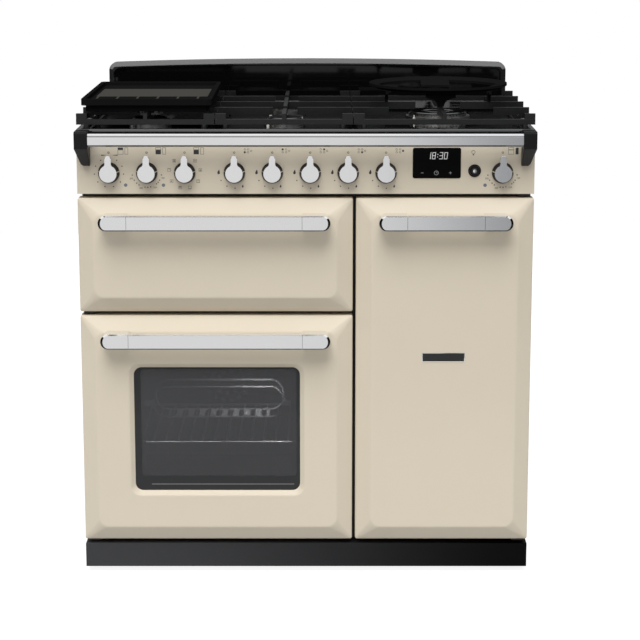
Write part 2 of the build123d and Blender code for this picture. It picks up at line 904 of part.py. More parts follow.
with BuildPart() as fan_covers:
    for x, z in fan_centres.values():
        cover_xs = (x - fan_cover_size / 2, x + fan_cover_size / 2)
        cover_zs = (z - fan_cover_size / 2, z + fan_cover_size / 2)
        cover_y = oven_back - fan_cover_depth
        slab((cover_y, oven_back), cover_xs, cover_zs, fan_hub)
        slab(
            (cover_y + sheet, oven_back),
            grow(cover_xs, -sheet),
            grow(cover_zs, -sheet),
            fan_hub - sheet,
            Mode.SUBTRACT,
        )
        with BuildSketch(front_plane(cover_y + sheet)):
            for ring in range(1, fan_cover_rings + 1):
                with Locations((x, z)):
                    with PolarLocations(ring * fan_cover_pitch, fan_cover_first * ring):
                        Circle(fan_cover_hole)
        extrude(amount=sheet, mode=Mode.SUBTRACT)
        slot_pitch = fan_cover_size / (fan_cover_slots + 1)
        slot_length = fan_cover_size / (fan_cover_slots + 2)
        with BuildSketch(front_plane(oven_back)):
            for side in (-1, 1):
                with Locations((x + side * fan_cover_size / 2, z)):
                    with GridLocations(0, slot_pitch, 1, fan_cover_slots):
                        SlotOverall(slot_length, fan_cover_depth / 3, rotation=90)
        extrude(amount=fan_cover_depth / 2, mode=Mode.SUBTRACT)
save(fan_covers, "fan_covers")

with BuildPart() as oven_lamp:
    x, z = lamp_spot
    rod((x, oven_back - lamp_radius / 2, z), (x, oven_back, z), lamp_radius)
    fillet(oven_lamp.faces().sort_by(Axis.Y)[0].edges(), lamp_radius / 3)
    rod((x, oven_back, z), (x, oven_back + motor_length, z), lamp_radius / 2)
save(oven_lamp, "oven_lamp")

grill_element_z = grill_box_z[1] - 6 * element_radius
with BuildPart() as grill_element:
    run_pitch = (length(oven_x) - 2 * element_inset) / (element_runs - 1)
    points = []
    for n in range(element_runs):
        run_x = oven_x[0] + element_inset + n * run_pitch
        ends = [box_y + 2 * element_inset, grill_back - element_inset]
        if n in (0, element_runs - 1):
            ends[1] = grill_back
        points += [(run_x, y, grill_element_z) for y in (ends if n % 2 else reversed(ends))]
    with BuildLine() as element_path:
        FilletPolyline(*points, radius=run_pitch * element_bend_share)
    with BuildSketch(Plane(origin=points[0], z_dir=(0, -1, 0))):
        Circle(element_radius)
    sweep(path=element_path.line)
save(grill_element, "grill_element")

# Shelf supports, shelves and door rack
main_shelf_ys = (box_y + rack_reach + 3 * shelf_rod, oven_back - fan_cover_depth - 2 * shelf_rod)
tall_shelf_ys = (box_y + 3 * shelf_rod, main_shelf_ys[1])


def rung_levels(zs):
    """Heights of the shelf rungs in an oven."""
    return [zs[0] + length(zs) * (n + 1) / (ladder_rungs + 1) for n in range(ladder_rungs)]


oven_fits = (
    (oven_x, oven_z, main_shelf_ys),
    (tall_oven_x, tall_oven_z, tall_shelf_ys),
)

with BuildPart() as shelf_ladders:
    for xs, zs, ys in oven_fits:
        ledge_ys = grow(ys, -shelf_rod)
        rungs = rung_levels(zs)
        for wall, inward in ((xs[0], 1), (xs[1], -1)):
            ledge_xs = sorted((wall, wall + inward * (ladder_offset + shelf_rod)))
            post_xs = sorted((wall, wall + inward * ladder_post))
            for y in grow(ys, -ladder_inset):
                block(post_xs, (y - ladder_post, y + ladder_post), (rungs[0] - sheet, rungs[-1]))
            for z in rungs:
                block(ledge_xs, ledge_ys, (z - sheet, z))
save(shelf_ladders, "shelf_ladders")


def shelf(xs, ys, z):
    """Wire shelf that lies on a pair of rungs."""
    frame_xs = grow(xs, -ladder_offset)
    for y in ys:
        rod((frame_xs[0], y, z), (frame_xs[1], y, z), shelf_rod)
    count = int(length(frame_xs) // shelf_pitch)
    pitch = length(frame_xs) / (count + 1)
    for n in range(count):
        wire_x = frame_xs[0] + (n + 1) * pitch
        rod((wire_x, ys[0], z), (wire_x, ys[1], z), shelf_wire)
    for side_x in frame_xs:
        rod((side_x, ys[0], z), (side_x, ys[1], z), shelf_rod)


shelf_rise = shelf_rod + seam
main_rungs = rung_levels(oven_z)
tall_rungs = rung_levels(tall_oven_z)
with BuildPart() as oven_shelves:
    shelf(oven_x, main_shelf_ys, main_rungs[1] + shelf_rise)
    shelf(tall_oven_x, tall_shelf_ys, tall_rungs[1] + shelf_rise)
    shelf(tall_oven_x, tall_shelf_ys, tall_rungs[3] + shelf_rise)
save(oven_shelves, "oven_shelves")

with BuildPart() as door_seals:
    for xs, zs in ((oven_x, oven_z), (tall_oven_x, tall_oven_z)):
        seal_ys = (door_back + slide_gap, frame_y)
        seal_out = seal_margin + seal_width
        slab(seal_ys, grow(xs, seal_out), grow(zs, seal_out), 2 * seal_width)
        slab(seal_ys, grow(xs, seal_margin), grow(zs, seal_margin), seal_width, Mode.SUBTRACT)
save(door_seals, "door_seals")


# Doors
def door_skin(xs, zs):
    """Pressed door front: a rim, a broad bevel and a raised middle, hollow behind."""

    def outline(y, inset, radius):
        with BuildSketch(front_plane(y)) as profile:
            with Locations((middle(xs), middle(zs))):
                RectangleRounded(length(xs) - 2 * inset, length(zs) - 2 * inset, radius)
        return profile.sketch

    for wall, mode in ((0, Mode.ADD), (sheet, Mode.SUBTRACT)):
        extrude(outline(door_back, wall, rim_radius - wall), amount=door_depth, mode=mode)
        rim = outline(y_face, wall, rim_radius - wall)
        raised = outline(y_front + wall, door_bevel + wall, bevel_radius - wall)
        loft([rim, raised], ruled=True, mode=mode)


def door_tray(xs, zs):
    """Inner lining of a door, set inside the skin's skirt."""
    fit_xs, fit_zs = grow(xs, -sheet - seam), grow(zs, -sheet - seam)
    tray_ys = (door_back - liner_rim, door_back)
    slab(tray_ys, fit_xs, fit_zs, rim_radius)
    slab(
        (tray_ys[0], door_back - liner_wall),
        grow(fit_xs, -liner_wall),
        grow(fit_zs, -liner_wall),
        rim_radius - liner_wall / 2,
        Mode.SUBTRACT,
    )


def hinge_blocks(xs, zs, hinge_x):
    """Bearing blocks in the door lining, bored for the hinge pins."""
    inset = sheet + seam + liner_wall / 2
    fit_xs, fit_zs = grow(xs, -inset), grow(zs, -inset)
    near = min(fit_xs, key=lambda edge: abs(edge - hinge_x))
    far = hinge_x + (hinge_x - near)
    for skin_z, edge, inward in ((zs[0], fit_zs[0], 1), (zs[1], fit_zs[1], -1)):
        block_end = edge + inward * hinge_block
        block(sorted((near, far)), (door_back - liner_rim, door_back), sorted((edge, block_end)))
        rod(
            (hinge_x, hinge_y, skin_z),
            (hinge_x, hinge_y, block_end),
            hinge_pin + running_gap,
            Mode.SUBTRACT,
        )


def hinge_holes(zs, hinge_x):
    """Clearance holes for the hinge pins in a door skin's top and bottom."""
    for edge, inward in ((zs[0], 1), (zs[1], -1)):
        rod(
            (hinge_x, hinge_y, edge),
            (hinge_x, hinge_y, edge + inward * sheet),
            hinge_pin + clearance,
            Mode.SUBTRACT,
        )


def handle(xs, z_top):
    """Flat bar between two posts with half-round outer ends, standing off the door."""
    ends = grow(xs, -handle_margin)
    zs = (z_top - handle_drop - handle_height, z_top - handle_drop)
    bar_ys = (y_front - handle_gap - handle_bar_depth, y_front - handle_gap)
    with BuildPart() as grip:
        block(grow(ends, -handle_post - seam), bar_ys, zs)
        for end, inward in ((ends[0], 1), (ends[1], -1)):
            with BuildSketch(front_plane(y_front)):
                centre_x = end + inward * handle_height / 2
                with Locations((centre_x, middle(zs))):
                    Circle(handle_height / 2)
                with Locations((end + inward * (handle_post + handle_height / 2) / 2, middle(zs))):
                    Rectangle(handle_post - handle_height / 2, handle_height)
            extrude(amount=handle_gap + handle_bar_depth)
        face_edges = grip.faces().group_by(Axis.Y)[0].edges()
        chamfer(face_edges.filter_by(GeomType.LINE).filter_by(Axis.X), handle_chamfer / 2)
    return grip


main_hinge_x = main_x[0] + hinge_inset
tall_hinge_x = tall_x[1] - hinge_inset
window_xs = (middle(main_x) - window_width / 2, middle(main_x) + window_width / 2)
window_zs = (door_bottom + window_bottom, door_bottom + window_bottom + window_height)
glass_y = y_front + window_recess


def window_cone(inset, mode):
    """Sloped well from the raised face of the door down to the glass."""
    sections = []
    for y, narrow in ((y_front, 0), (glass_y, window_slope)):
        with BuildSketch(front_plane(y)) as section:
            with Locations((middle(window_xs), middle(window_zs))):
                RectangleRounded(
                    window_width - 2 * (narrow + inset),
                    window_height - 2 * (narrow + inset),
                    window_radius - narrow / 2 - inset,
                )
        sections.append(section.sketch)
    loft(sections, ruled=True, mode=mode)


with BuildPart() as main_door_panel:
    door_skin(main_x, main_z)
    window_cone(0, Mode.ADD)
    window_cone(sheet, Mode.SUBTRACT)
    hinge_holes(main_z, main_hinge_x)
save(main_door_panel, "main_door_panel")

pane_xs = grow(window_xs, glass_lap - window_slope)
pane_zs = grow(window_zs, glass_lap - window_slope)
inner_window_xs = grow(window_xs, -3 * window_slope)
inner_window_zs = grow(window_zs, -3 * window_slope)
inner_pane_back = door_back - liner_wall

with BuildPart() as main_door_glass:
    slab((glass_y, glass_y + glass_thickness), pane_xs, pane_zs, window_radius)
    inner_ys = (inner_pane_back - glass_thickness, inner_pane_back)
    slab(inner_ys, grow(inner_window_xs, glass_lap), grow(inner_window_zs, glass_lap), window_radius)
save(main_door_glass, "main_door_glass")

with BuildPart() as main_door_liner:
    door_tray(main_x, main_z)
    slab((inner_pane_back, door_back), inner_window_xs, inner_window_zs, window_radius, Mode.SUBTRACT)
    hinge_blocks(main_x, main_z, main_hinge_x)
save(main_door_liner, "main_door_liner")

save(handle(main_x, main_door_top), "main_door_handle")

with BuildPart() as door_rack:
    rack_xs = (middle(main_x) - rack_width / 2, middle(main_x) + rack_width / 2)
    rack_top = window_zs[1] - rack_drop + rack_height
    rack_zs = (rack_top - rack_height, rack_top)
    rack_end = box_y + rack_reach
    for ys in ((door_back, door_back + rack_strip), (rack_end - rack_strip, rack_end)):
        slab(ys, rack_xs, rack_zs, rack_corner)
        slab(ys, grow(rack_xs, -sheet), grow(rack_zs, -sheet), rack_corner - sheet, Mode.SUBTRACT)
    arm_zs = (middle(rack_zs) - rack_strip / 2, middle(rack_zs) + rack_strip / 2)
    for rack_x, window_x, outward in zip(rack_xs, inner_window_xs, (-1, 1)):
        arm_xs = sorted((rack_x - outward * sheet, window_x + outward * rack_strip))
        block(arm_xs, (door_back, door_back + sheet), arm_zs)
    floor_xs = grow(rack_xs, -rack_corner)
    block(floor_xs, (door_back, rack_end), (rack_zs[0], rack_zs[0] + sheet))
    slot_pitch = length(floor_xs) / rack_slots
    with BuildSketch(Plane.XY.offset(rack_zs[0])):
        with Locations((middle(rack_xs), middle((door_back, rack_end)))):
            with GridLocations(slot_pitch, 0, rack_slots, 1):
                SlotOverall(rack_reach - rack_strip, slot_pitch / 2, rotation=90)
    extrude(amount=sheet, mode=Mode.SUBTRACT)
save(door_rack, "door_rack")

with BuildPart() as tall_door_panel:
    door_skin(tall_x, tall_z)
    hinge_holes(tall_z, tall_hinge_x)
save(tall_door_panel, "tall_door_panel")

with BuildPart() as tall_door_liner:
    door_tray(tall_x, tall_z)
    hinge_blocks(tall_x, tall_z, tall_hinge_x)
save(tall_door_liner, "tall_door_liner")

save(handle(tall_x, door_top), "tall_door_handle")

with BuildPart() as hinge_brackets:
    hinges = ((main_hinge_x, main_z, door_stack_gap), (tall_hinge_x, tall_z, panel_gap))
    for hinge_x, zs, top_gap in hinges:
        inward = 1 if hinge_x < 0 else -1
        arm_xs = sorted((hinge_x - inward * hinge_arm, hinge_x + inward * 3 * hinge_arm))
        for edge, up, gap in ((zs[0], -1, plinth_gap), (zs[1], 1, top_gap)):
            plate_mid = edge + up * gap / 2
            plate_zs = (plate_mid - hinge_plate / 2, plate_mid + hinge_plate / 2)
            plate_inner = plate_mid - up * hinge_plate / 2
            block(arm_xs, (hinge_y - hinge_arm, frame_y), plate_zs)
            leg_zs = sorted((plate_mid, plate_mid - up * hinge_leg))
            block(arm_xs, (frame_y - hinge_leg_sheet, frame_y), leg_zs)
            pin_end = edge - up * hinge_pin_length
            rod((hinge_x, hinge_y, plate_inner), (hinge_x, hinge_y, pin_end), hinge_pin)
            rod((hinge_x, hinge_y, plate_inner), (hinge_x, hinge_y, edge + up * slide_gap), hinge_collar)
save(hinge_brackets, "hinge_brackets")


# Grill drawer
runner_z = (middle(grill_box_z) - runner_height / 2, middle(grill_box_z) + runner_height / 2)
channel_z = grow(runner_z, slide_gap)
runner_back = grill_back - clearance

with BuildPart() as grill_slides:
    for wall, inward in ((oven_x[0], 1), (oven_x[1], -1)):
        web_xs = sorted((wall, wall + inward * channel_sheet))
        lip_xs = sorted((wall, wall + inward * (channel_sheet + runner_width)))
        slide_ys = (box_y + clearance, grill_back)
        block(web_xs, slide_ys, grow(channel_z, channel_sheet))
        block(lip_xs, slide_ys, (channel_z[0] - channel_sheet, channel_z[0]))
        block(lip_xs, slide_ys, (channel_z[1], channel_z[1] + channel_sheet))
save(grill_slides, "grill_slides")

with BuildPart() as grill_front:
    door_skin(main_x, grill_z)
save(grill_front, "grill_front")
save(handle(main_x, door_top), "grill_handle")

carriage_xs = grow(oven_x, -channel_sheet - slide_gap)
web_in = channel_sheet + runner_width + clearance
shelf_in = web_in + grill_pan_lip + clearance
with BuildPart() as grill_carriage:
    door_tray(main_x, grill_z)
    for wall, inward in ((carriage_xs[0], 1), (carriage_xs[1], -1)):
        runner_xs = sorted((wall, wall + inward * shelf_in))
        web_ys = (door_back, runner_back)
        block(runner_xs, web_ys, runner_z)
    pan_back_bar = (runner_back - runner_width, runner_back)
    block(carriage_xs, pan_back_bar, runner_z)
save(grill_carriage, "grill_carriage")

pan_xs = grow(carriage_xs, -shelf_in - clearance)
pan_ys = (box_y + runner_width, box_y + runner_width + grill_pan_length)
pan_z = (runner_z[1] + sheet - grill_pan_height, runner_z[1] + sheet)
with BuildPart() as grill_pan:
    block(pan_xs, pan_ys, pan_z)
    block(grow(pan_xs, grill_pan_lip), pan_ys, (runner_z[1], pan_z[1]))
    block(
        grow(pan_xs, -liner_wall),
        grow(pan_ys, -liner_wall),
        (pan_z[0] + liner_wall, pan_z[1]),
        Mode.SUBTRACT,
    )
save(grill_pan, "grill_pan")


# Pan supports, griddle and wok ring
support_ys = (y_face + support_front, y_face + 2 * burner_front + burner_pitch - support_front)
support_bottom = hob_height + support_lift
bar_zs = (support_bottom, support_bottom + support_bar_height)
pan_level = hob_height + support_top
finger_zs = (pan_level - finger_height, pan_level)
lug_zs = (support_bottom, pan_level)


def pan_support(column, spots, reach):
    """Cast frame with raised fingers around its burners, on four feet."""
    xs = grow(support_edges[column:column + 2], -support_joint / 2)
    centre_x = burner_columns[column]
    bar_half = support_bar / 2
    rails_x = grow(xs, -bar_half)
    rails_y = grow(support_ys, -bar_half)
    mid_y = middle(support_ys)
    with BuildPart() as grate:
        for x in rails_x:
            block((x - bar_half, x + bar_half), support_ys, bar_zs)
        for y in rails_y:
            block(xs, (y - bar_half, y + bar_half), bar_zs)
        lug_rows = [rails_y[0], burner_rows[0], mid_y, burner_rows[1], rails_y[1]]
        for y in lug_rows:
            lug_ys = (y - finger_width / 2, y + finger_width / 2)
            block((xs[0], xs[0] + support_lug), lug_ys, lug_zs)
            block((xs[1] - support_lug, xs[1]), lug_ys, lug_zs)
        centre_ys = (centre_x - finger_width / 2, centre_x + finger_width / 2)
        stops = sorted([support_ys[0], support_ys[1]] + [y + s * reach for _, y in spots for s in (-1, 1)])
        for start, end in zip(stops[0::2], stops[1::2]):
            block(centre_ys, (start, end), finger_zs)
        for y in (burner_rows[0], mid_y, burner_rows[1]):
            on_burner = any(abs(y - spot_y) < finger_width for _, spot_y in spots)
            row_ys = (y - finger_width / 2, y + finger_width / 2)
            if on_burner:
                inner = centre_x - reach
            elif len(spots) == 2:
                inner = centre_x
            else:
                inner = xs[0] + side_finger
            block((xs[0], inner), row_ys, finger_zs)
            block((2 * centre_x - inner, xs[1]), row_ys, finger_zs)
        for x in grow(xs, -hob_rim - support_overhang - support_foot - 2 * clearance):
            for y in rails_y:
                rod((x, y, hob_well_level), (x, y, bar_zs[0]), support_foot)
        for y in rails_y:
            block(centre_ys, (y - finger_width / 2, y + finger_width / 2), lug_zs)
    return grate


save(pan_support(0, burner_spots[:2], finger_end), "pan_support_left")
save(pan_support(1, burner_spots[2:], finger_end), "pan_support_centre")
save(pan_support(2, [wok_spot], wok_finger_end), "pan_support_right")

griddle_x = burner_columns[0]
griddle_xs = (griddle_x - griddle_width / 2, griddle_x + griddle_width / 2)
griddle_ys = (y_face + griddle_front, y_face + griddle_front + griddle_length)
griddle_top = pan_level + griddle_height
with BuildPart() as griddle:
    rim_bottom = griddle_top - griddle_rim_height
    griddle_middle = (griddle_x, middle(griddle_ys))
    with BuildSketch(Plane.XY.offset(rim_bottom)):
        with Locations(griddle_middle):
            RectangleRounded(griddle_width, griddle_length, griddle_wall)
    extrude(amount=griddle_rim_height)
    with BuildSketch(Plane.XY.offset(pan_level)):
        with Locations(griddle_middle):
            RectangleRounded(
                griddle_width - 2 * griddle_skirt,
                griddle_length - 2 * griddle_skirt,
                griddle_wall,
            )
    extrude(amount=griddle_height - griddle_rim_height)
    with BuildSketch(Plane.XY.offset(rim_bottom + griddle_floor)):
        with Locations(griddle_middle):
            RectangleRounded(
                griddle_width - 2 * griddle_wall,
                griddle_length - 2 * griddle_wall,
                griddle_wall / 2,
            )
    extrude(amount=griddle_rim_height - griddle_floor, mode=Mode.SUBTRACT)
    block(
        grow(griddle_xs, -griddle_skirt - griddle_wall),
        grow(griddle_ys, -griddle_skirt - griddle_wall),
        (pan_level, rim_bottom),
        Mode.SUBTRACT,
    )
    with BuildSketch(Plane.XY.offset(rim_bottom + griddle_floor)):
        with Locations((griddle_x, griddle_ys[0] + griddle_wall + griddle_rib_length / 2)):
            with GridLocations(griddle_rib_pitch, 0, griddle_ribs, 1):
                Rectangle(griddle_floor, griddle_rib_length)
    extrude(amount=griddle_rib_height)
save(griddle, "griddle")

ring_top = pan_level + wok_ring_height
with BuildPart() as wok_ring:
    x, y = wok_spot
    with BuildSketch(Plane.XZ.offset(-y)):
        with BuildLine():
            Polyline(
                (x + wok_ring_radius, ring_top),
                (x + wok_ring_radius, ring_top - wok_ring_sheet),
                (x + wok_ring_mouth, ring_top - wok_ring_dish - wok_ring_sheet),
                (x + wok_ring_mouth, ring_top - wok_ring_dish),
                close=True,
            )
        make_face()
    revolve(axis=Axis((x, y, 0), (0, 0, 1)))
    arch = (wok_ring_radius - wok_ring_band + wok_ring_mouth) / 2
    with BuildSketch(Plane.XY.offset(pan_level)):
        with Locations((x, y)):
            Circle(wok_ring_radius - wok_ring_band)
            Circle(wok_ring_mouth - wok_ring_sheet, mode=Mode.SUBTRACT)
            with PolarLocations(arch, 4):
                Rectangle(wok_ring_radius, wok_leg_top, mode=Mode.SUBTRACT)
    extrude(amount=wok_ring_height, mode=Mode.SUBTRACT)
    leg_height = wok_ring_height - wok_ring_dish - wok_ring_sheet / 2
    leg_curve = (wok_leg_top - wok_leg_foot) / 2
    for quarter in range(4):
        turn = quarter * pi / 2
        outward = (cos(turn), sin(turn), 0)
        foot = (x + wok_ring_mouth * cos(turn), y + wok_ring_mouth * sin(turn), pan_level)
        with BuildSketch(Plane(origin=foot, x_dir=(-sin(turn), cos(turn), 0), z_dir=outward)):
            with Locations((0, leg_height / 2)):
                Rectangle(wok_leg_top, leg_height)
            for side in (-1, 1):
                with Locations((side * wok_leg_top / 2, 0)):
                    Ellipse(leg_curve, leg_height - wok_ring_sheet, mode=Mode.SUBTRACT)
        extrude(amount=wok_leg_sheet)
save(wok_ring, "wok_ring")
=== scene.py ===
import json
from math import cos, pi, radians, sin

import bmesh
import bpy
from bpy.props import FloatProperty, FloatVectorProperty, IntProperty, PointerProperty
from mathutils import Matrix, Vector


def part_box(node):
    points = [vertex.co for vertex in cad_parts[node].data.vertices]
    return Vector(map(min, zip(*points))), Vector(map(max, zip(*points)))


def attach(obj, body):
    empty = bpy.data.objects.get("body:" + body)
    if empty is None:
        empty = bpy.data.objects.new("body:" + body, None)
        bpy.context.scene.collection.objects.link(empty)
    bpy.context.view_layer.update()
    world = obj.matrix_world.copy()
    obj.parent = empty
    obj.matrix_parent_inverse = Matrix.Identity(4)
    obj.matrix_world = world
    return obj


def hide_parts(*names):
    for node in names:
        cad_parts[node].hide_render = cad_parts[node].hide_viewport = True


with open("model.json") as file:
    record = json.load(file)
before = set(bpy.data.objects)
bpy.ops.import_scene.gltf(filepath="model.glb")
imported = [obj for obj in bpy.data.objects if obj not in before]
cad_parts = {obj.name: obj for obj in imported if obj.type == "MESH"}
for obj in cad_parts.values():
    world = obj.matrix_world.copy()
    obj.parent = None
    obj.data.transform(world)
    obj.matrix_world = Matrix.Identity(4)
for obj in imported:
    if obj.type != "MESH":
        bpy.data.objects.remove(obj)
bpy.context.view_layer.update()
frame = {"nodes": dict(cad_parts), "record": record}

bl_info = {
    "name": "Range cooker",
    "version": (1, 0, 0),
    "blender": (4, 5, 0),
    "location": "View3D > Sidebar > Cooker",
    "description": "Dresses a packed dual fuel range cooker with its doors, controls, hob and finishes",
    "category": "Object",
}

FIXED = "cooker"
MM = 0.001
PRINT_GAP = 0.0001
SMOOTH_ANGLE = 32.0
WELD = 0.00001
METAL = {"Metallic": 1.0}
# Dark colour painted on marked chamfers of the handles, rail and knob faces: painted dark reflection
PAINTED_EDGE_SHADE = (0.02, 0.02, 0.022)
DOORS = {
    "grill_front": ("grill_drawer", "grill_handle"),
    "main_door_panel": ("main_door", "main_door_handle"),
    "tall_door_panel": ("tall_door", "tall_door_handle"),
}
GAS_KNOBS = ["gas_knob_1", "gas_knob_2", "gas_knob_3", "gas_knob_4", "gas_knob_5"]
KNOBS = ["grill_knob", "main_oven_knob", "main_mode_knob", *GAS_KNOBS, "tall_oven_knob"]
PANEL_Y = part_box("control_panel")[0].y
GLASS_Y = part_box("main_door_glass")[0].y


# Settings that a user may change
def colour(name, description, default):
    return FloatVectorProperty(name=name, description=description, subtype="COLOR", size=3, min=0.0, max=1.0,
                               default=default)


def length(name, description, default):
    return FloatProperty(name=name, description=description, unit="LENGTH", default=default)


def edges(name, description, default):
    return FloatVectorProperty(name=name, description=description, unit="LENGTH", size=2, default=default)


class CookerColours(bpy.types.PropertyGroup):
    enamel: colour("Enamel", "Colour of the doors and control panel", (0.735, 0.655, 0.522))
    black: colour("Black enamel", "Colour of the hob and splashback", (0.0026, 0.0026, 0.0028))
    steel: colour("Steel", "Colour of the handles, rail and knob faces", (0.86, 0.86, 0.865))
    iron: colour("Cast iron", "Colour of the pan supports and wok ring", (0.008, 0.008, 0.0083))
    griddle: colour("Griddle", "Colour of the griddle's cooking face", (0.060, 0.0582, 0.0515))
    glass: colour("Window tint", "Colour of the oven window", (0.088, 0.0895, 0.094))
    ink: colour("Print", "Colour of the marks on the control panel", (0.03, 0.03, 0.033))


class CookerSizes(bpy.types.PropertyGroup):
    press_edge: length("Pressed edge", "Rounding of the doors' pressed edges", 0.0028)
    bulge: length("Raised panel", "How far a door's middle stands before its rim", 0.020)
    bevel: length("Bevel width", "Width of the slope around a door", 0.031)
    rim_radius: length("Rim corner", "Corner radius of a door's rim", 0.004)
    raised_radius: length("Raised corner", "Corner radius of a door's raised middle", 0.020)
    skin: length("Skin", "Sheet thickness of a door", 0.0014)
    window_x: edges("Window sides", "Left and right edge of the window's recess", (-0.352, -0.003))
    window_z: edges("Window ends", "Lower and upper edge of the window's recess", (0.168, 0.440))
    well_slope: length("Window slope", "Width of the slope around the window", 0.009)
    handle_end: length("Handle end", "Length of a handle's end piece", 0.055)
    handle_bar: length("Handle bar", "Thickness of a handle's bar", 0.014)
    handle_side: length("Handle side", "Width of the chamfer around a handle's ends", 0.0048)
    handle_rim: length("Handle rim", "Width of the chamfer along a handle", 0.0023)
    knob_skirt: length("Knob skirt", "Radius of a knob's foot", 0.021)
    knob_face: length("Knob face", "Radius of a knob's face plate", 0.0169)
    knob_lever: length("Knob lever", "Reach of a knob's lever above its axis", 0.0355)
    lever_width: length("Lever width", "Width of a knob's lever", 0.0124)
    knob_plate: length("Knob plate", "Thickness of a knob's face plate", 0.005)
    dot_radius: length("Dial dot", "Radius of a dot on a dial", 0.0012)
    dot_sides: IntProperty(name="Dot sides", description="Sides of a dot's outline", default=16, min=3)
    digit_height: length("Digits", "Height of the clock's digits", 0.0124)


# Shader building
def overload(operation, reflected=False):
    """Method of a wire that adds a Math node."""
    def method(self, other=0.0):
        first, second = (other, self) if reflected else (self, other)
        return self.finish.node("ShaderNodeMath", {"operation": operation}, {0: first, 1: second})[0]
    return method


class Wire:
    """A shader socket that adds Math nodes when it is used in an expression."""

    def __init__(self, finish, socket):
        self.finish = finish
        self.socket = socket

    __add__ = __radd__ = overload("ADD")
    __sub__ = overload("SUBTRACT")
    __rsub__ = overload("SUBTRACT", reflected=True)
    __mul__ = __rmul__ = overload("MULTIPLY")
    __truediv__ = overload("DIVIDE")
    __rtruediv__ = overload("DIVIDE", reflected=True)
    __gt__ = overload("GREATER_THAN")
    __lt__ = overload("LESS_THAN")
    __abs__ = overload("ABSOLUTE")
    root = overload("SQRT")
    fraction = overload("FRACT")
    most = overload("MAXIMUM")
    least = overload("MINIMUM")


class Finish:
    """A node tree under construction, of a material or of the world."""

    def __init__(self, owner):
        owner.use_nodes = True
        self.tree = owner.node_tree
        self.tree.nodes.clear()

    def node(self, kind, settings=None, sockets=None):
        """Add a node: settings first, then socket values or links. Returns its outputs as wires."""
        made = self.tree.nodes.new(kind)
        for key, value in (settings or {}).items():
            setattr(made, key, value)
        for key, value in (sockets or {}).items():
            socket = made.inputs[key]
            if isinstance(value, Wire):
                self.tree.links.new(value.socket, socket)
            elif socket.type == "RGBA":
                socket.default_value = (*value[:3], 1.0)
            else:
                socket.default_value = value
        wires = {}
        for index, socket in enumerate(made.outputs):
            wires[index] = wires[socket.name] = Wire(self, socket)
        return wires

    def place(self):
        """Object coordinates, in metres, as three wires."""
        return self.node("ShaderNodeSeparateXYZ", None, {0: self.node("ShaderNodeTexCoord")["Object"]})

    def cells(self, size, stretch=(1.0, 1.0, 1.0)):
        """Object coordinates scaled so that one unit is a size in metres, longer along some axes."""
        scale = [1.0 / (size * s) for s in stretch]
        return self.node("ShaderNodeMapping", None, {
            "Vector": self.node("ShaderNodeTexCoord")["Object"], "Scale": scale})[0]

    def noise(self, size, stretch=(1.0, 1.0, 1.0), detail=3.0):
        return self.node("ShaderNodeTexNoise", None, {
            "Vector": self.cells(size, stretch), "Scale": 1.0, "Detail": detail})[0]

    def specks(self, size):
        """Distance to the nearest of scattered points, for flecks and spangles."""
        return self.node("ShaderNodeTexVoronoi", None, {"Vector": self.cells(size), "Scale": 1.0})["Distance"]

    def mixed(self, factor, first, second):
        """Colour between two colours."""
        return self.node("ShaderNodeMix", {"data_type": "RGBA"}, {0: factor, 6: first, 7: second})[2]

    def span(self, value, low, high):
        """Smooth step from 0 to 1 over a span, held at the ends."""
        return self.node("ShaderNodeMapRange", {"interpolation_type": "SMOOTHSTEP"}, {
            0: value, 1: low, 2: high})[0]

    def chamfer(self):
        """How dark a face is marked, from 0 to 1; set by the face's direction, it paints shade and dark
        reflections, and on the splashback a highlight.
        """
        return self.node("ShaderNodeAttribute", {"attribute_name": "chamfer"})["Fac"]

    def bump(self, height, strength, distance):
        return self.node("ShaderNodeBump", None, {
            "Height": height, "Strength": strength, "Distance": distance})["Normal"]

    def surface(self, sockets):
        shader = self.node("ShaderNodeBsdfPrincipled", None, sockets)["BSDF"]
        self.node("ShaderNodeOutputMaterial", None, {"Surface": shader})


def finish_named(name, build):
    """A material, built the first time that it is asked for; its name is apart from the CAD slots' names."""
    made = bpy.data.materials.get("cooker_" + name)
    if made is None:
        made = bpy.data.materials.new("cooker_" + name)
        build(Finish(made))
    return made


def as_material(build):
    """Turn the builder of a finish into a function that returns its material."""
    def material():
        return finish_named(build.__name__, build)
    return material


def colours():
    return bpy.context.scene.cooker_colours


def sizes():
    return bpy.context.scene.cooker_sizes


def tone(base, factor):
    return tuple(min(1.0, c * factor) for c in base)


def shades(base, low, high):
    """Two tones of a colour, for the ends of a mix."""
    return tone(base, low), tone(base, high)


# Finishes
def grained(name, size, low, high, rough, detail=3.0, bump=None, edge=None, fixed=None):
    """Finish whose colour follows one noise, and so does its roughness, given as a start and a share."""
    def build(f):
        grain = f.noise(size, detail=detail)
        base = f.mixed(grain, low, high)
        # Marked faces take the edge colour: painted shade and dark reflection
        if edge:
            base = f.mixed(f.chamfer(), base, edge)
        sockets = {"Base Color": base, "Roughness": rough[0] + rough[1] * grain, **(fixed or {})}
        if bump:
            sockets["Normal"] = f.bump(grain, *bump)
        f.surface(sockets)
    return finish_named(name, build)


@as_material
def cream_enamel(f):
    cloud = f.noise(0.09, detail=2.0)
    peel = f.noise(0.0035, detail=2.0)
    f.surface({
        "Base Color": f.mixed(cloud, *shades(colours().enamel, 0.985, 1.012)),
        "Roughness": 0.14 + 0.08 * peel,
        "Specular IOR Level": 0.4,
        "Normal": f.bump(peel, 0.03, 0.0004),
    })


@as_material
def black_enamel(f):
    speck = f.noise(0.0012, detail=2.0)
    cloud = f.noise(0.12)
    f.surface({
        "Base Color": f.mixed(speck, *shades(colours().black, 0.8, 1.3)),
        "Roughness": 0.04 + 0.04 * cloud,
        "Specular IOR Level": 1.0,
        "Coat Weight": 1.0,
        "Coat Roughness": 0.04,
        "Normal": f.bump(speck, 0.01, 0.0002),
    })


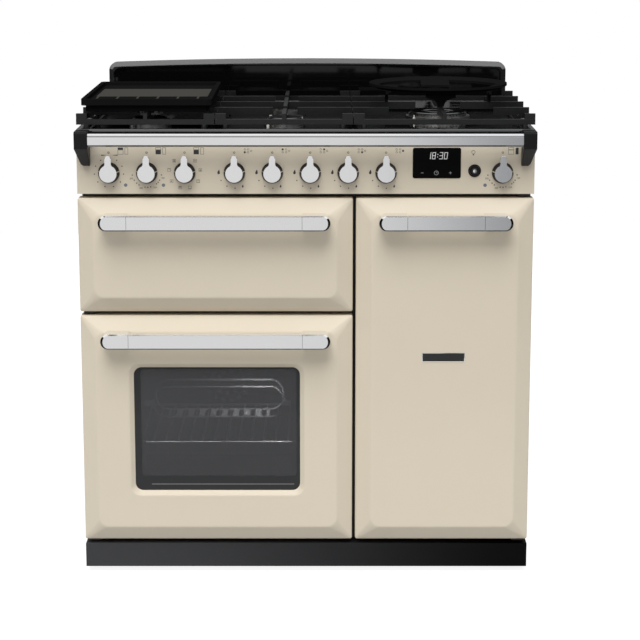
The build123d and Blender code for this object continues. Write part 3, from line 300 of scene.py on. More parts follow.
@as_material
def splash_enamel_painted_highlight(f):
    """Black enamel with its upward faces painted satin grey: a painted highlight."""
    speck = f.noise(0.0012, detail=2.0)
    # Upward faces are marked and take the painted highlight
    edge = f.chamfer()
    black = f.mixed(speck, *shades(colours().black, 0.8, 1.3))
    f.surface({
        "Base Color": f.mixed(edge, black, (0.15, 0.15, 0.151)),
        "Roughness": 0.05 + 0.03 * speck + 0.2 * edge,
        "Specular IOR Level": 0.3,
        "Normal": f.bump(speck, 0.01, 0.0002),
    })


@as_material
def plinth_enamel_painted_shade(f):
    speck = f.noise(0.0016, detail=2.0)
    # Painted light across the plinth: lighter on the left, near black on the right
    across = f.span(f.place()["X"], -0.45, 0.45)
    left = f.mixed(speck, (0.046, 0.047, 0.05), (0.064, 0.065, 0.068))
    right = f.mixed(speck, (0.0008, 0.0008, 0.001), (0.0018, 0.0018, 0.002))
    f.surface({
        "Base Color": f.mixed(across, left, right),
        "Roughness": 0.34 + 0.1 * speck,
        "Specular IOR Level": 0.05,
        "Normal": f.bump(speck, 0.05, 0.0002),
    })


def satin_black():
    return grained("satin_black", 0.0009, (0.006, 0.006, 0.0063), (0.011, 0.011, 0.0115), (0.42, 0.12),
                   detail=2.0, bump=(0.08, 0.0002))


@as_material
def brushed_steel(f):
    lines = f.noise(0.0006, stretch=(160.0, 1.0, 1.0), detail=2.0)
    cloud = f.noise(0.2)
    f.surface({
        # Marked chamfers are painted dark: painted dark reflection
        "Base Color": f.mixed(f.chamfer(), f.mixed(lines, *shades(colours().steel, 0.965, 1.0)), PAINTED_EDGE_SHADE),
        "Metallic": 1.0,
        "Roughness": 0.09 + 0.05 * lines + 0.03 * cloud,
    })


def knob_steel():
    return grained("knob_steel", 0.003, *shades(colours().steel, 0.98, 1.0), (0.09, 0.04), detail=2.0,
                   edge=PAINTED_EDGE_SHADE, fixed=METAL)


# Bright chrome painted dark where faces are marked: painted dark reflection, leaving painted glints and
# highlights
def chrome_painted_reflection():
    return grained("chrome_painted_reflection", 0.01, (0.74, 0.74, 0.75), (0.84, 0.84, 0.85), (0.07, 0.06),
                   edge=(0.045, 0.045, 0.048), fixed=METAL)


def bright_chrome():
    return grained("bright_chrome", 0.02, (0.66, 0.66, 0.67), (0.74, 0.74, 0.75), (0.07, 0.08), fixed=METAL)


def chrome_wire():
    return grained("chrome_wire", 0.02, (0.7, 0.7, 0.71), (0.78, 0.78, 0.79), (0.26, 0.1), fixed=METAL)


def rack_satin():
    return grained("rack_satin", 0.02, (0.62, 0.63, 0.65), (0.7, 0.71, 0.73), (0.46, 0.1),
                   fixed={"Metallic": 0.3})


@as_material
def zinc_sheet(f):
    spangle = f.specks(0.016)
    f.surface({
        "Base Color": f.mixed(spangle, (0.42, 0.43, 0.44), (0.58, 0.59, 0.6)),
        "Metallic": 1.0,
        "Roughness": 0.34 + 0.16 * spangle,
    })


@as_material
def oven_enamel(f):
    flecks = f.specks(0.004) < 0.16
    cloud = f.noise(0.05)
    f.surface({
        "Base Color": f.mixed(flecks, (0.026, 0.026, 0.029), (0.16, 0.16, 0.17)),
        "Roughness": 0.26 + 0.14 * cloud,
        "Coat Weight": 0.2,
    })


def cast_iron(name="cast_iron", gloss=0.36):
    def build(f):
        sand = f.noise(0.0014, detail=4.0)
        cloud = f.noise(0.02)
        f.surface({
            "Base Color": f.mixed(sand, *shades(colours().iron, 0.7, 1.7)),
            "Roughness": 0.2 + 0.16 * sand + 0.06 * cloud,
            "Specular IOR Level": gloss,
            "Normal": f.bump(sand, 0.16, 0.0005),
        })
    return finish_named(name, build)


@as_material
def griddle_iron(f):
    """Black iron with a paler olive cooking face inside its walls; a strip along its front and a strip along
    its back edge are painted dark as shade, apart from stripes at the ribs across the front strip.
    """
    low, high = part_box("griddle")
    face, lip, wall, shaded_strip_end = high.z - 0.0083, low.y + 0.02, 0.016, low.y + 0.138
    first_rib, rib_pitch, rib_half = -0.4420, 0.0406, 0.05
    at = f.place()
    sand = f.noise(0.0016, detail=4.0)
    floor = (abs(at["Z"] - face) < 0.0006) * (at["Y"] > lip)
    inside = abs(at["X"] - (low.x + high.x) / 2) < (high.x - low.x) / 2 - wall
    shaded_strip = at["Y"] < shaded_strip_end
    ribs = abs(((at["X"] - first_rib) / rib_pitch).fraction() - 0.5) < rib_half
    # The cooking face inside the walls takes the paler colour, except a strip along its back edge, painted
    # dark as shade of the rear wall
    pale_unshaded = floor * inside * (1.0 - f.span(at["Y"], high.y - 0.088, high.y - 0.082))
    # The strip along the front is painted dark as shade, apart from stripes at the ribs, which keep the paler
    # colour
    pale_unshaded = pale_unshaded * (1.0 - shaded_strip * (1.0 - ribs))
    dark = f.mixed(sand, *shades(colours().iron, 0.8, 1.5))
    pale_olive = f.mixed(sand, *shades(colours().griddle, 0.85, 1.15))
    f.surface({
        "Base Color": f.mixed(pale_unshaded, dark, pale_olive),
        "Roughness": 0.4 + 0.2 * sand,
        "Specular IOR Level": 0.0,
        "Normal": f.bump(sand, 0.03, 0.0004),
    })


@as_material
def burner_alloy(f):
    cloud = f.noise(0.01)
    heat = f.noise(0.03, detail=2.0)
    f.surface({
        "Base Color": f.mixed(heat, (0.32, 0.32, 0.32), (0.44, 0.43, 0.41)),
        "Metallic": 1.0,
        "Roughness": 0.22 + 0.14 * cloud,
    })


def plain_brass():
    return grained("plain_brass", 0.012, (0.5, 0.36, 0.13), (0.66, 0.5, 0.22), (0.28, 0.15), fixed=METAL)


def moulded_black():
    return grained("moulded_black", 0.0007, (0.004, 0.004, 0.0043), (0.008, 0.008, 0.0084), (0.34, 0.14),
                   detail=2.0, bump=(0.1, 0.0002), fixed={"Specular IOR Level": 0.2})


def display_gloss():
    return grained("display_gloss", 0.03, (0.0022, 0.0022, 0.0024), (0.004, 0.004, 0.0044), (0.08, 0.05),
                   fixed={"Specular IOR Level": 0.03})


def glow(name, dim, bright):
    def build(f):
        cloud = f.noise(0.004)
        f.surface({
            "Base Color": (0.02, 0.02, 0.02),
            "Roughness": 0.3,
            "Emission Color": f.mixed(cloud, dim, bright),
            "Emission Strength": 0.85,
        })
    return finish_named(name, build)


def lit_digits():
    return glow("lit_digits", (0.62, 0.64, 0.66), (0.9, 0.91, 0.92))


# Dim glow of the timer's signs; on the window it is a painted highlight
def dim_glow_and_painted_highlight():
    return glow("dim_glow_and_painted_highlight", (0.2, 0.2, 0.21), (0.32, 0.32, 0.33))


def panel_ink():
    return grained("panel_ink", 0.0008, *shades(colours().ink, 0.7, 1.3), (0.5, 0.1))


def lens_grey():
    return grained("lens_grey", 0.004, (0.14, 0.16, 0.19), (0.21, 0.235, 0.27), (0.12, 0.1),
                   fixed={"Coat Weight": 0.5})


def soft_rubber():
    return grained("soft_rubber", 0.0012, (0.012, 0.012, 0.012), (0.02, 0.02, 0.02), (0.7, 0.15),
                   bump=(0.2, 0.0003))


def glazed_ceramic():
    return grained("glazed_ceramic", 0.004, (0.7, 0.68, 0.63), (0.8, 0.78, 0.73), (0.16, 0.1))


@as_material
def lamp_cover(f):
    cloud = f.noise(0.006)
    f.surface({
        "Base Color": f.mixed(cloud, (0.7, 0.68, 0.6), (0.8, 0.78, 0.7)),
        "Roughness": 0.12 + 0.2 * cloud,
        "Alpha": 0.55 + 0.3 * cloud,
    })


@as_material
def window_glass(f):
    """Tinted pane with a printed border around its clear middle; the inner pane is clear."""
    at = f.place()
    middle, half, corner = (-0.17425, 0.31675), (0.15545, 0.10985), 0.006
    out_x = (abs(at["X"] - middle[0]) - (half[0] - corner)).most(0.0)
    out_z = (abs(at["Z"] - middle[1]) - (half[1] - corner)).most(0.0)
    border = (out_x * out_x + out_z * out_z).root() > corner
    outer = at["Y"] < GLASS_Y + 0.0045
    haze = f.noise(0.06, detail=2.0)
    tint = f.mixed(haze, *shades(colours().glass, 0.95, 1.06))
    # Painted reflection: the tint is lighter towards the upper left and darker towards the lower right
    tint = f.mixed(f.span(at["Z"] - 0.3 * at["X"], 0.26, 0.54), tone(colours().glass, 0.8), tint)
    f.surface({
        "Base Color": f.mixed(border * outer, tint, (0.03, 0.0307, 0.0325)),
        "Roughness": 0.05 + 0.03 * haze,
        "Specular IOR Level": 0.15,
        "Alpha": (border * outer + outer * 0.62 + 0.05).least(1.0),
    })


# Mesh building
def round_rect(xs, zs, radius, y, steps=10):
    """Points of an upright rounded rectangle, anticlockwise as seen from the front."""
    points = []
    corners = ((xs[1] - radius, zs[1] - radius), (xs[0] + radius, zs[1] - radius),
               (xs[0] + radius, zs[0] + radius), (xs[1] - radius, zs[0] + radius))
    for quarter, (x, z) in enumerate(corners):
        for n in range(steps + 1):
            turn = (quarter + n / steps) * pi / 2
            points.append(Vector((x + radius * cos(turn), y, z + radius * sin(turn))))
    return points


def eased(first, corner, last, count=5):
    """Points of a curve that rounds a corner."""
    line = []
    for n in range(count + 1):
        u = n / count
        line.append([(1 - u) ** 2 * a + 2 * u * (1 - u) * b + u * u * c
                     for a, b, c in zip(first, corner, last)])
    return line


def loft(bm, rings, capped=True):
    """Skin over rings of equal length: capped at both ends, or joined end to start."""
    made = [[bm.verts.new(p) for p in ring] for ring in rings]
    pairs = list(zip(made, made[1:]))
    if not capped:
        pairs.append((made[-1], made[0]))
    for low, high in pairs:
        for n in range(len(low)):
            m = (n + 1) % len(low)
            bm.faces.new((low[n], low[m], high[m], high[n]))
    if capped:
        bm.faces.new(list(reversed(made[0])))
        bm.faces.new(made[-1])
    return made


def circle(x, z, radius, steps=24):
    """Outline of a circle in (x, z), anticlockwise as seen from the front."""
    return [(x + radius * cos(2 * pi * n / steps), z + radius * sin(2 * pi * n / steps))
            for n in range(steps)]


def upright(outline, y):
    """Points of an outline in (x, z), stood up at y."""
    return [Vector((x, y, z)) for x, z in outline]


def turned(bm, x, z, profile, steps=64, capped=True):
    """Round solid about an axis along Y; profile is (radius, y) from back to front."""
    loft(bm, [upright(circle(x, z, radius, steps), y) for radius, y in profile], capped)


def plate(bm, outline, y, depth, edge, segments):
    """Flat plate of an outline in (x, z), its back at y, its front edges broken."""
    front = loft(bm, [upright(outline, y), upright(outline, y - depth)])[1]
    rim = [bm.edges.get((a, b)) for a, b in zip(front, front[1:] + front[:1])]
    bmesh.ops.bevel(bm, geom=rim, offset=edge, segments=segments, profile=0.5, affect="EDGES")


def flat(bm, outline, y):
    """Flat mark, facing forwards."""
    bm.faces.new([bm.verts.new(p) for p in upright(outline, y)])


def stroke(bm, points, width, y, closed=False):
    """Line of a width through points in (x, z)."""
    spots = [Vector(p) for p in points]
    if closed:
        spots.append(spots[0])
    for a, b in zip(spots, spots[1:]):
        along = (b - a).normalized() * width / 2
        side = Vector((-along.y, along.x))
        flat(bm, (b + along - side, b + along + side, a - along + side, a - along - side), y)


def ring_mark(bm, x, z, radius, width, y):
    """Flat ring, facing forwards."""
    outer, inner = [[bm.verts.new(p) for p in upright(circle(x, z, r), y)]
                    for r in (radius + width / 2, radius - width / 2)]
    for n in range(len(outer)):
        m = (n + 1) % len(outer)
        bm.faces.new((outer[n], outer[m], inner[m], inner[n]))


def box_outline(x0, z0, x1, z1):
    return [(x1, z1), (x0, z1), (x0, z0), (x1, z0)]


def shade_smooth(mesh, angle):
    mesh.polygons.foreach_set("use_smooth", [True] * len(mesh.polygons))
    mesh.set_sharp_from_angle(angle=radians(angle))


def mesh_of(name, bm, angle):
    """Mesh of a bmesh, smooth up to an angle."""
    mesh = bpy.data.meshes.new(name)
    bm.to_mesh(mesh)
    bm.free()
    shade_smooth(mesh, angle)
    return mesh


def mark_faces(mesh, dark):
    """Mark faces by their direction, from 0 to 1, for finishes that paint dark reflections and shade on
    chamfers, and painted highlights.
    """
    mark = mesh.attributes.new("chamfer", "FLOAT", "FACE")
    mark.data.foreach_set("value", [float(dark(face.normal)) for face in mesh.polygons])


def linked(name, data):
    """New object of some data, in the scene."""
    made = bpy.data.objects.new(name, data)
    bpy.context.scene.collection.objects.link(made)
    return made


def add_object(name, mesh, body, replaced=()):
    piece = linked(name, mesh)
    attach(piece, body)
    if replaced:
        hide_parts(*replaced)


def add_piece(name, bm, body, material, replaced=(), angle=SMOOTH_ANGLE, solid=True, dark=None):
    """Turn a bmesh into a finished piece that rides on a body."""
    if solid:
        bmesh.ops.recalc_face_normals(bm, faces=bm.faces)
    mesh = mesh_of(name, bm, angle)
    if dark:
        mark_faces(mesh, dark)
    mesh.materials.append(material)
    add_object(name, mesh, body, replaced)


def baked(mesh, modify):
    """The mesh that a modifier makes of a mesh; modify adds and sets the modifier."""
    carrier = linked("carrier", mesh)
    modify(carrier)
    graph = bpy.context.evaluated_depsgraph_get()
    made = bpy.data.meshes.new_from_object(carrier.evaluated_get(graph), depsgraph=graph)
    carrier.modifiers.clear()
    bpy.data.objects.remove(carrier)
    bpy.data.meshes.remove(mesh)
    return made


def slot_of(node):
    """The record's material slot of a CAD node."""
    return next(entry["material_slot"] for entry in frame["record"]["subparts"] if entry["node"] == node)


def softened(node, material, width, body=FIXED, dark=None):
    """Copy of a CAD node with its sharp edges broken, in place of the node."""
    bm = bmesh.new()
    bm.from_mesh(frame["nodes"][node].data)
    bmesh.ops.remove_doubles(bm, verts=bm.verts, dist=WELD)
    bmesh.ops.dissolve_limit(bm, angle_limit=radians(0.1), verts=bm.verts, edges=bm.edges)

    def add_bevel(carrier):
        edge = carrier.modifiers.new("edge", "BEVEL")
        edge.width = width
        edge.segments = 2
        edge.limit_method = "ANGLE"
        edge.angle_limit = radians(SMOOTH_ANGLE)
        edge.harden_normals = True

    made = baked(mesh_of(node + "_plain", bm, SMOOTH_ANGLE), add_bevel)
    # Faces with many corners are flat, and keep their own normal
    normals = [corner.vector.copy() for corner in made.corner_normals]
    for face in made.polygons:
        if face.loop_total > 6:
            for corner in face.loop_indices:
                normals[corner] = face.normal.copy()
    made.normals_split_custom_set(normals)
    if dark:
        mark_faces(made, dark)
    made.materials.clear()
    made.materials.append(material)
    add_object(node + "_soft", made, body, (node,))


def paint(material, *nodes):
    """Give CAD nodes a finish."""
    for node in nodes:
        mesh = frame["nodes"][node].data
        mesh.materials.clear()
        mesh.materials.append(material)


def dot_tree():
    """Geometry nodes that put a flat disc, facing forwards, on each point of a mesh."""
    tree = bpy.data.node_groups.get("dial_dots")
    if tree is not None:
        return tree
    tree = bpy.data.node_groups.new("dial_dots", "GeometryNodeTree")
    for name, way, kind in (("Geometry", "INPUT", "Geometry"), ("Radius", "INPUT", "Float"),
                            ("Sides", "INPUT", "Int"), ("Material", "INPUT", "Material"),
                            ("Geometry", "OUTPUT", "Geometry")):
        tree.interface.new_socket(name, in_out=way, socket_type="NodeSocket" + kind)
    start, end, disc, spread, real, coat = [tree.nodes.new(kind) for kind in (
        "NodeGroupInput", "NodeGroupOutput", "GeometryNodeMeshCircle", "GeometryNodeInstanceOnPoints",
        "GeometryNodeRealizeInstances", "GeometryNodeSetMaterial")]
    disc.fill_type = "NGON"
    spread.inputs["Rotation"].default_value = (pi / 2, 0.0, 0.0)
    for source, out, target, into in (
            (start, "Geometry", spread, "Points"), (start, "Radius", disc, "Radius"),
            (start, "Sides", disc, "Vertices"), (disc, "Mesh", spread, "Instance"),
            (spread, "Instances", real, "Geometry"), (real, "Geometry", coat, "Geometry"),
            (start, "Material", coat, "Material"), (coat, "Geometry", end, "Geometry")):
        tree.links.new(source.outputs[out], target.inputs[into])
    return tree


def add_dots(name, spots, y, radius, material):
    """Flat round marks at (x, z) spots on a front face."""
    mesh = bpy.data.meshes.new(name + "_spots")
    mesh.from_pydata([(x, y, z) for x, z in spots], [], [])

    def add_spread(carrier):
        spread = carrier.modifiers.new("dots", "NODES")
        spread.node_group = dot_tree()
        sockets = {item.name: item.identifier for item in spread.node_group.interface.items_tree
                   if item.in_out == "INPUT"}
        spread[sockets["Radius"]] = radius
        spread[sockets["Sides"]] = sizes().dot_sides
        spread[sockets["Material"]] = material

    add_object(name, baked(mesh, add_spread), FIXED)


def text_mark(bm, words, x, z, height, y):
    """Flat text, centred on (x, z), facing forwards."""
    curve = bpy.data.curves.new("print", "FONT")
    curve.body = words
    curve.size = height
    curve.align_x = "CENTER"
    curve.align_y = "CENTER"
    carrier = bpy.data.objects.new("print", curve)
    mesh = bpy.data.meshes.new_from_object(carrier)
    mesh.transform(Matrix.Translation((x, y, z)) @ Matrix.Rotation(pi / 2, 4, "X"))
    bm.from_mesh(mesh)
    bpy.data.objects.remove(carrier)
    bpy.data.curves.remove(curve)
    bpy.data.meshes.remove(mesh)


# Doors, window and handles
def door_rings(low, high, wall):
    """Rings of a pressed door from its back edge to its flat middle, moved inwards by a wall."""
    s = sizes()
    e = s.press_edge
    rim = low.y + s.bulge
    run = Vector((s.bevel, -s.bulge)).normalized() * e
    line = [(0.0, high.y), (0.0, rim + 2 * e)]
    line += eased((0.0, rim + e), (0.0, rim), (run.x, rim + run.y))
    line += [(2 * run.x, rim + 2 * run.y), (s.bevel - 2 * run.x, low.y - 2 * run.y)]
    line += eased((s.bevel - run.x, low.y - run.y), (s.bevel, low.y), (s.bevel + e, low.y))
    line += [(s.bevel + 2 * e, low.y)]
    rings = []
    for inset, y in line:
        share = min(inset / s.bevel, 1.0)
        radius = s.rim_radius + (s.raised_radius - s.rim_radius) * share
        radius = max(radius - max(inset - s.bevel, 0.0) - wall, 0.001)
        inset += wall
        rings.append(round_rect((low.x + inset, high.x - inset), (low.z + inset, high.z - inset), radius,
                                y + wall if y < high.y else y))
    return rings


def window_rings(front, wall):
    """Rings from the flat of the wide oven's door down the slope to its glass."""
    s = sizes()
    end = GLASS_Y - 0.0002
    e = s.press_edge * 0.7
    run = Vector((s.well_slope, end - front)).normalized() * e
    line = [(-2 * e, front)]
    line += eased((-e, front), (0.0, front), (run.x, front + run.y))
    line += [(2 * run.x, front + 2 * run.y), (s.well_slope, end)]
    rings = []
    for inset, y in line:
        inset -= wall
        radius = s.raised_radius - inset / 2
        rings.append(round_rect((s.window_x[0] + inset, s.window_x[1] - inset),
                                (s.window_z[0] + inset, s.window_z[1] - inset), radius,
                                y + wall if y < end else y))
    return rings


class COOKER_OT_doors(bpy.types.Operator):
    """Pressed enamel fronts of the grill drawer and both ovens, and the control panel"""
    bl_idname = "cooker.doors"
    bl_label = "Pressed doors"

    def execute(self, context):
        for node, (body, _) in DOORS.items():
            low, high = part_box(node)
            outer = door_rings(low, high, 0.0)
            inner = door_rings(low, high, sizes().skin)
            bm = bmesh.new()
            windowed = node == "main_door_panel"
            if windowed:
                outer += window_rings(low.y, 0.0)
                inner += window_rings(low.y, sizes().skin)
            loft(bm, list(reversed(inner)) + outer, capped=not windowed)
            add_piece(node + "_pressed", bm, body, cream_enamel(), (node,), angle=50.0)
        softened("control_panel", cream_enamel(), 0.0008)
        return {"FINISHED"}


class COOKER_OT_window(bpy.types.Operator):
    """Tinted window with its printed border, and a painted highlight along the edge of the inner pane"""
    bl_idname = "cooker.window"
    bl_label = "Oven window"

    def execute(self, context):
        paint(window_glass(), "main_door_glass")
        left, right, level, width = -0.310, -0.0245, 0.1895, 0.0011
        bm = bmesh.new()
        # Glowing line along the edge of the inner pane: a painted highlight
        stroke(bm, [(left, level), (right, level)], width, GLASS_Y - PRINT_GAP)
        add_piece("window_edge_painted_highlight", bm, "main_door", dim_glow_and_painted_highlight(), solid=False)
        return {"FINISHED"}


def end_outline(end, inward, zs, reach, side=0.0, rim=0.0, steps=20):
    """Outline of a handle's end piece: half round outside, straight at the seam, moved in at its edges."""
    radius = (zs[1] - zs[0]) / 2
    middle = (zs[0] + zs[1]) / 2
    outline = [(end + inward * reach, zs[1] - rim)]
    for n in range(steps + 1):
        turn = pi * n / steps
        outline.append((end + inward * (radius - (radius - side) * sin(turn)),
                        middle + (radius - rim) * cos(turn)))
    outline.append((end + inward * reach, zs[0] + rim))
    return outline if inward > 0 else list(reversed(outline))


def handle_shade(way):
    """A handle's chamfers are painted dark at its ends and below: painted dark reflection."""
    return -0.95 < way.y < -0.2 and way.z < 0.8 * abs(way.x)


class COOKER_OT_handles(bpy.types.Operator):
    """Brushed bars on half-round end pieces, one on each door, with black strips in the seams"""
    bl_idname = "cooker.handles"
    bl_label = "Door handles"

    def execute(self, context):
        s = sizes()
        seam, chamfer, strip_back, strip_front = 0.0003, 0.003, 0.010, 0.0004
        side, rim = s.handle_side, s.handle_rim
        for body, node in DOORS.values():
            low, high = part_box(node)
            zs = (low.z, high.z)
            pieces = []
            for end, inward in ((low.x, 1), (high.x, -1)):
                ends = [end_outline(end, inward, zs, s.handle_end - seam),
                        end_outline(end, inward, zs, s.handle_end - seam, side, rim)]
                pieces.append((high.y, *ends))
            joints = (low.x + s.handle_end, high.x - s.handle_end)
            bars = [box_outline(joints[0] + seam, zs[0] + r, joints[1] - seam, zs[1] - r) for r in (0.0, rim)]
            pieces.append((low.y + s.handle_bar, *bars))
            bm = bmesh.new()
            for back, whole, front in pieces:
                loft(bm, [upright(whole, back), upright(whole, low.y + chamfer), upright(front, low.y)])
            fill = bmesh.new()
            for joint in joints:
                strip = box_outline(joint - 0.9 * seam, zs[0] + rim, joint + 0.9 * seam, zs[1] - rim)
                loft(fill, [upright(strip, low.y + strip_back), upright(strip, low.y + strip_front)])
            add_piece(node + "_joints", fill, body, moulded_black())
            add_piece(node + "_bar", bm, body, brushed_steel(), (node,), angle=25.0,
                      dark=handle_shade)
        return {"FINISHED"}


def rail_shade(way):
    """The rail's lower chamfer is painted dark, and the slope under its upper notch half dark: painted dark
    reflection.
    """
    return 0.88 * (way.y < -0.2 and -0.9 < way.z < -0.2) + 0.6 * (0.3 < way.z < 0.5)


class COOKER_OT_rail(bpy.types.Operator):
    """Steel rail before the hob, between black end brackets"""
    bl_idname = "cooker.rail"
    bl_label = "Front rail"

    def execute(self, context):
        low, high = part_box("front_rail")
        front, back, bottom, top = low.y, high.y, low.z, high.z
        profile = [(back, bottom + 0.001), (back, top - 0.001), (back - 0.001, top),
                   (front + 0.0028, top), (front + 0.0006, top - 0.0035), (front + 0.0012, top - 0.0042),
                   (front, top - 0.0066), (front, bottom + 0.0036), (front + 0.0034, bottom),
                   (back - 0.001, bottom)]
        bm = bmesh.new()
        loft(bm, [[Vector((x, y, z)) for y, z in profile] for x in (low.x, high.x)])
        add_piece("front_rail_bar", bm, FIXED, brushed_steel(), ("front_rail",), angle=12.0,
                  dark=rail_shade)
        softened("rail_end_caps", moulded_black(), 0.0012)
        return {"FINISHED"}


# Controls
def knob_axis(name):
    """Axis of a knob in (x, z)."""
    low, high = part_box(name)
    return (low.x + high.x) / 2, low.z + sizes().knob_skirt


def keyhole(x, z, face, reach, half, blend=0.0018):
    """Outline of a knob's face: a disc with a round-ended lever upwards, blended where they meet."""
    side = half + blend
    height = ((face + blend) ** 2 - side ** 2) ** 0.5
    meet = Vector((side, height)).angle(Vector((0.0, 1.0)))
    tip = [pi * n / 12 for n in range(13)]
    fillet = [-(pi / 2 - meet) * n / 6 for n in range(7)]
    disc = [pi / 2 + meet + (2 * pi - 2 * meet) * n / 48 for n in range(1, 48)]
    points = [(half * cos(turn), reach - half + half * sin(turn)) for turn in tip]
    points += [(-side + blend * cos(turn), height + blend * sin(turn)) for turn in fillet]
    points += [(face * cos(turn), face * sin(turn)) for turn in disc]
    points += [(side - blend * cos(turn), height + blend * sin(turn)) for turn in reversed(fillet)]
    return [(x + px, z + pz) for px, pz in points]


def skirt_painted_reflection(way):
    """Darkness of a knob's skirt by its normal: painted dark reflection, with two narrow painted glints on
    either side.
    """
    rise = way.z / max(abs(way.x), 1e-6)
    return 0.0 if 0.05 < rise < 0.2 or 0.92 < rise < 1.08 else 1.0


def face_shade(way):
    """A knob's face is painted dark along its broken edge, apart from the upper part: painted shade."""
    return -0.8 < way.y < -0.1 and way.z < 0.6


class COOKER_OT_knobs(bpy.types.Operator):
    """Nine keyhole-shaped knobs: a chrome skirt under a satin face plate"""
    bl_idname = "cooker.knobs"
    bl_label = "Knobs"

    def execute(self, context):
        s = sizes()
        for name in KNOBS:
            x, z = knob_axis(name)
            low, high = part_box(name)
            seat = low.y + s.knob_plate
            body = name + "_body"
            bm = bmesh.new()
            turned(bm, x, z, [(s.knob_skirt - 0.0006, high.y), (s.knob_skirt, high.y - 0.0008),
                              (s.knob_skirt, high.y - 0.0030), (s.knob_skirt - 0.0010, high.y - 0.0042),
                              (s.knob_face - 0.0002, seat + 0.0012), (s.knob_face - 0.0010, seat)])
            add_piece(name + "_skirt", bm, body, chrome_painted_reflection(), dark=skirt_painted_reflection)
            bm = bmesh.new()
            outline = keyhole(x, z, s.knob_face, s.knob_lever, s.lever_width / 2)
            plate(bm, outline, seat, s.knob_plate, edge=0.0009, segments=2)
            add_piece(name + "_face", bm, body, knob_steel(), (name,), angle=20.0,
                      dark=face_shade)
        return {"FINISHED"}


def on_dial(axis, radius, degrees):
    """Point on a dial, measured clockwise from the top."""
    turn = radians(degrees)
    return axis[0] + radius * sin(turn), axis[1] + radius * cos(turn)


def cavity_icon(bm, x, z, filled, y):
    """Map of the three cavities: grill over the wide oven, beside the tall oven; one is filled."""
    cavities = {"grill": (0.0, 9.0, 10.4, 13.2), "wide": (0.0, 0.0, 10.4, 8.4),
                "tall": (13.8, 0.0, 19.6, 13.0)}
    for cavity, corners in cavities.items():
        x0, z0, x1, z1 = [c * MM for c in corners]
        outline = box_outline(x + x0, z + z0, x + x1, z + z1)
        if cavity == filled:
            flat(bm, outline, y)
        else:
            stroke(bm, outline, 0.0006, y, closed=True)


def flame_icon(bm, x, z, width, height, y):
    """Flame: a drop with a bent tip."""
    points = []
    for n in range(24):
        turn = 2 * pi * n / 24
        rise = (1 - cos(turn)) / 2
        lean = 0.16 * width * rise * rise
        points.append((x - width / 2 * sin(turn) * (1 - 0.75 * rise) + lean, z - height / 2 + height * rise))
    flat(bm, list(reversed(points)), y)


def mode_icon(bm, x, z, kind, y):
    """Small square with the sign of an oven mode: a fan ring, a top line, a bottom line or a star."""
    half, reach, rise, fine, bold = 0.0029, 0.0016, 0.0018, 0.0005, 0.0006
    stroke(bm, box_outline(x - half, z - half, x + half, z + half), fine, y, closed=True)
    if "fan" in kind:
        ring_mark(bm, x, z, 0.0011, bold, y)
    for word, level in (("top", z + rise), ("low", z - rise)):
        if word in kind:
            stroke(bm, [(x - reach, level), (x + reach, level)], bold, y)
    if "star" in kind:
        for turn in (0.0, pi / 3, 2 * pi / 3):
            arm = Vector((cos(turn), sin(turn))) * 0.0015
            stroke(bm, [(x - arm.x, z - arm.y), (x + arm.x, z + arm.y)], fine, y)


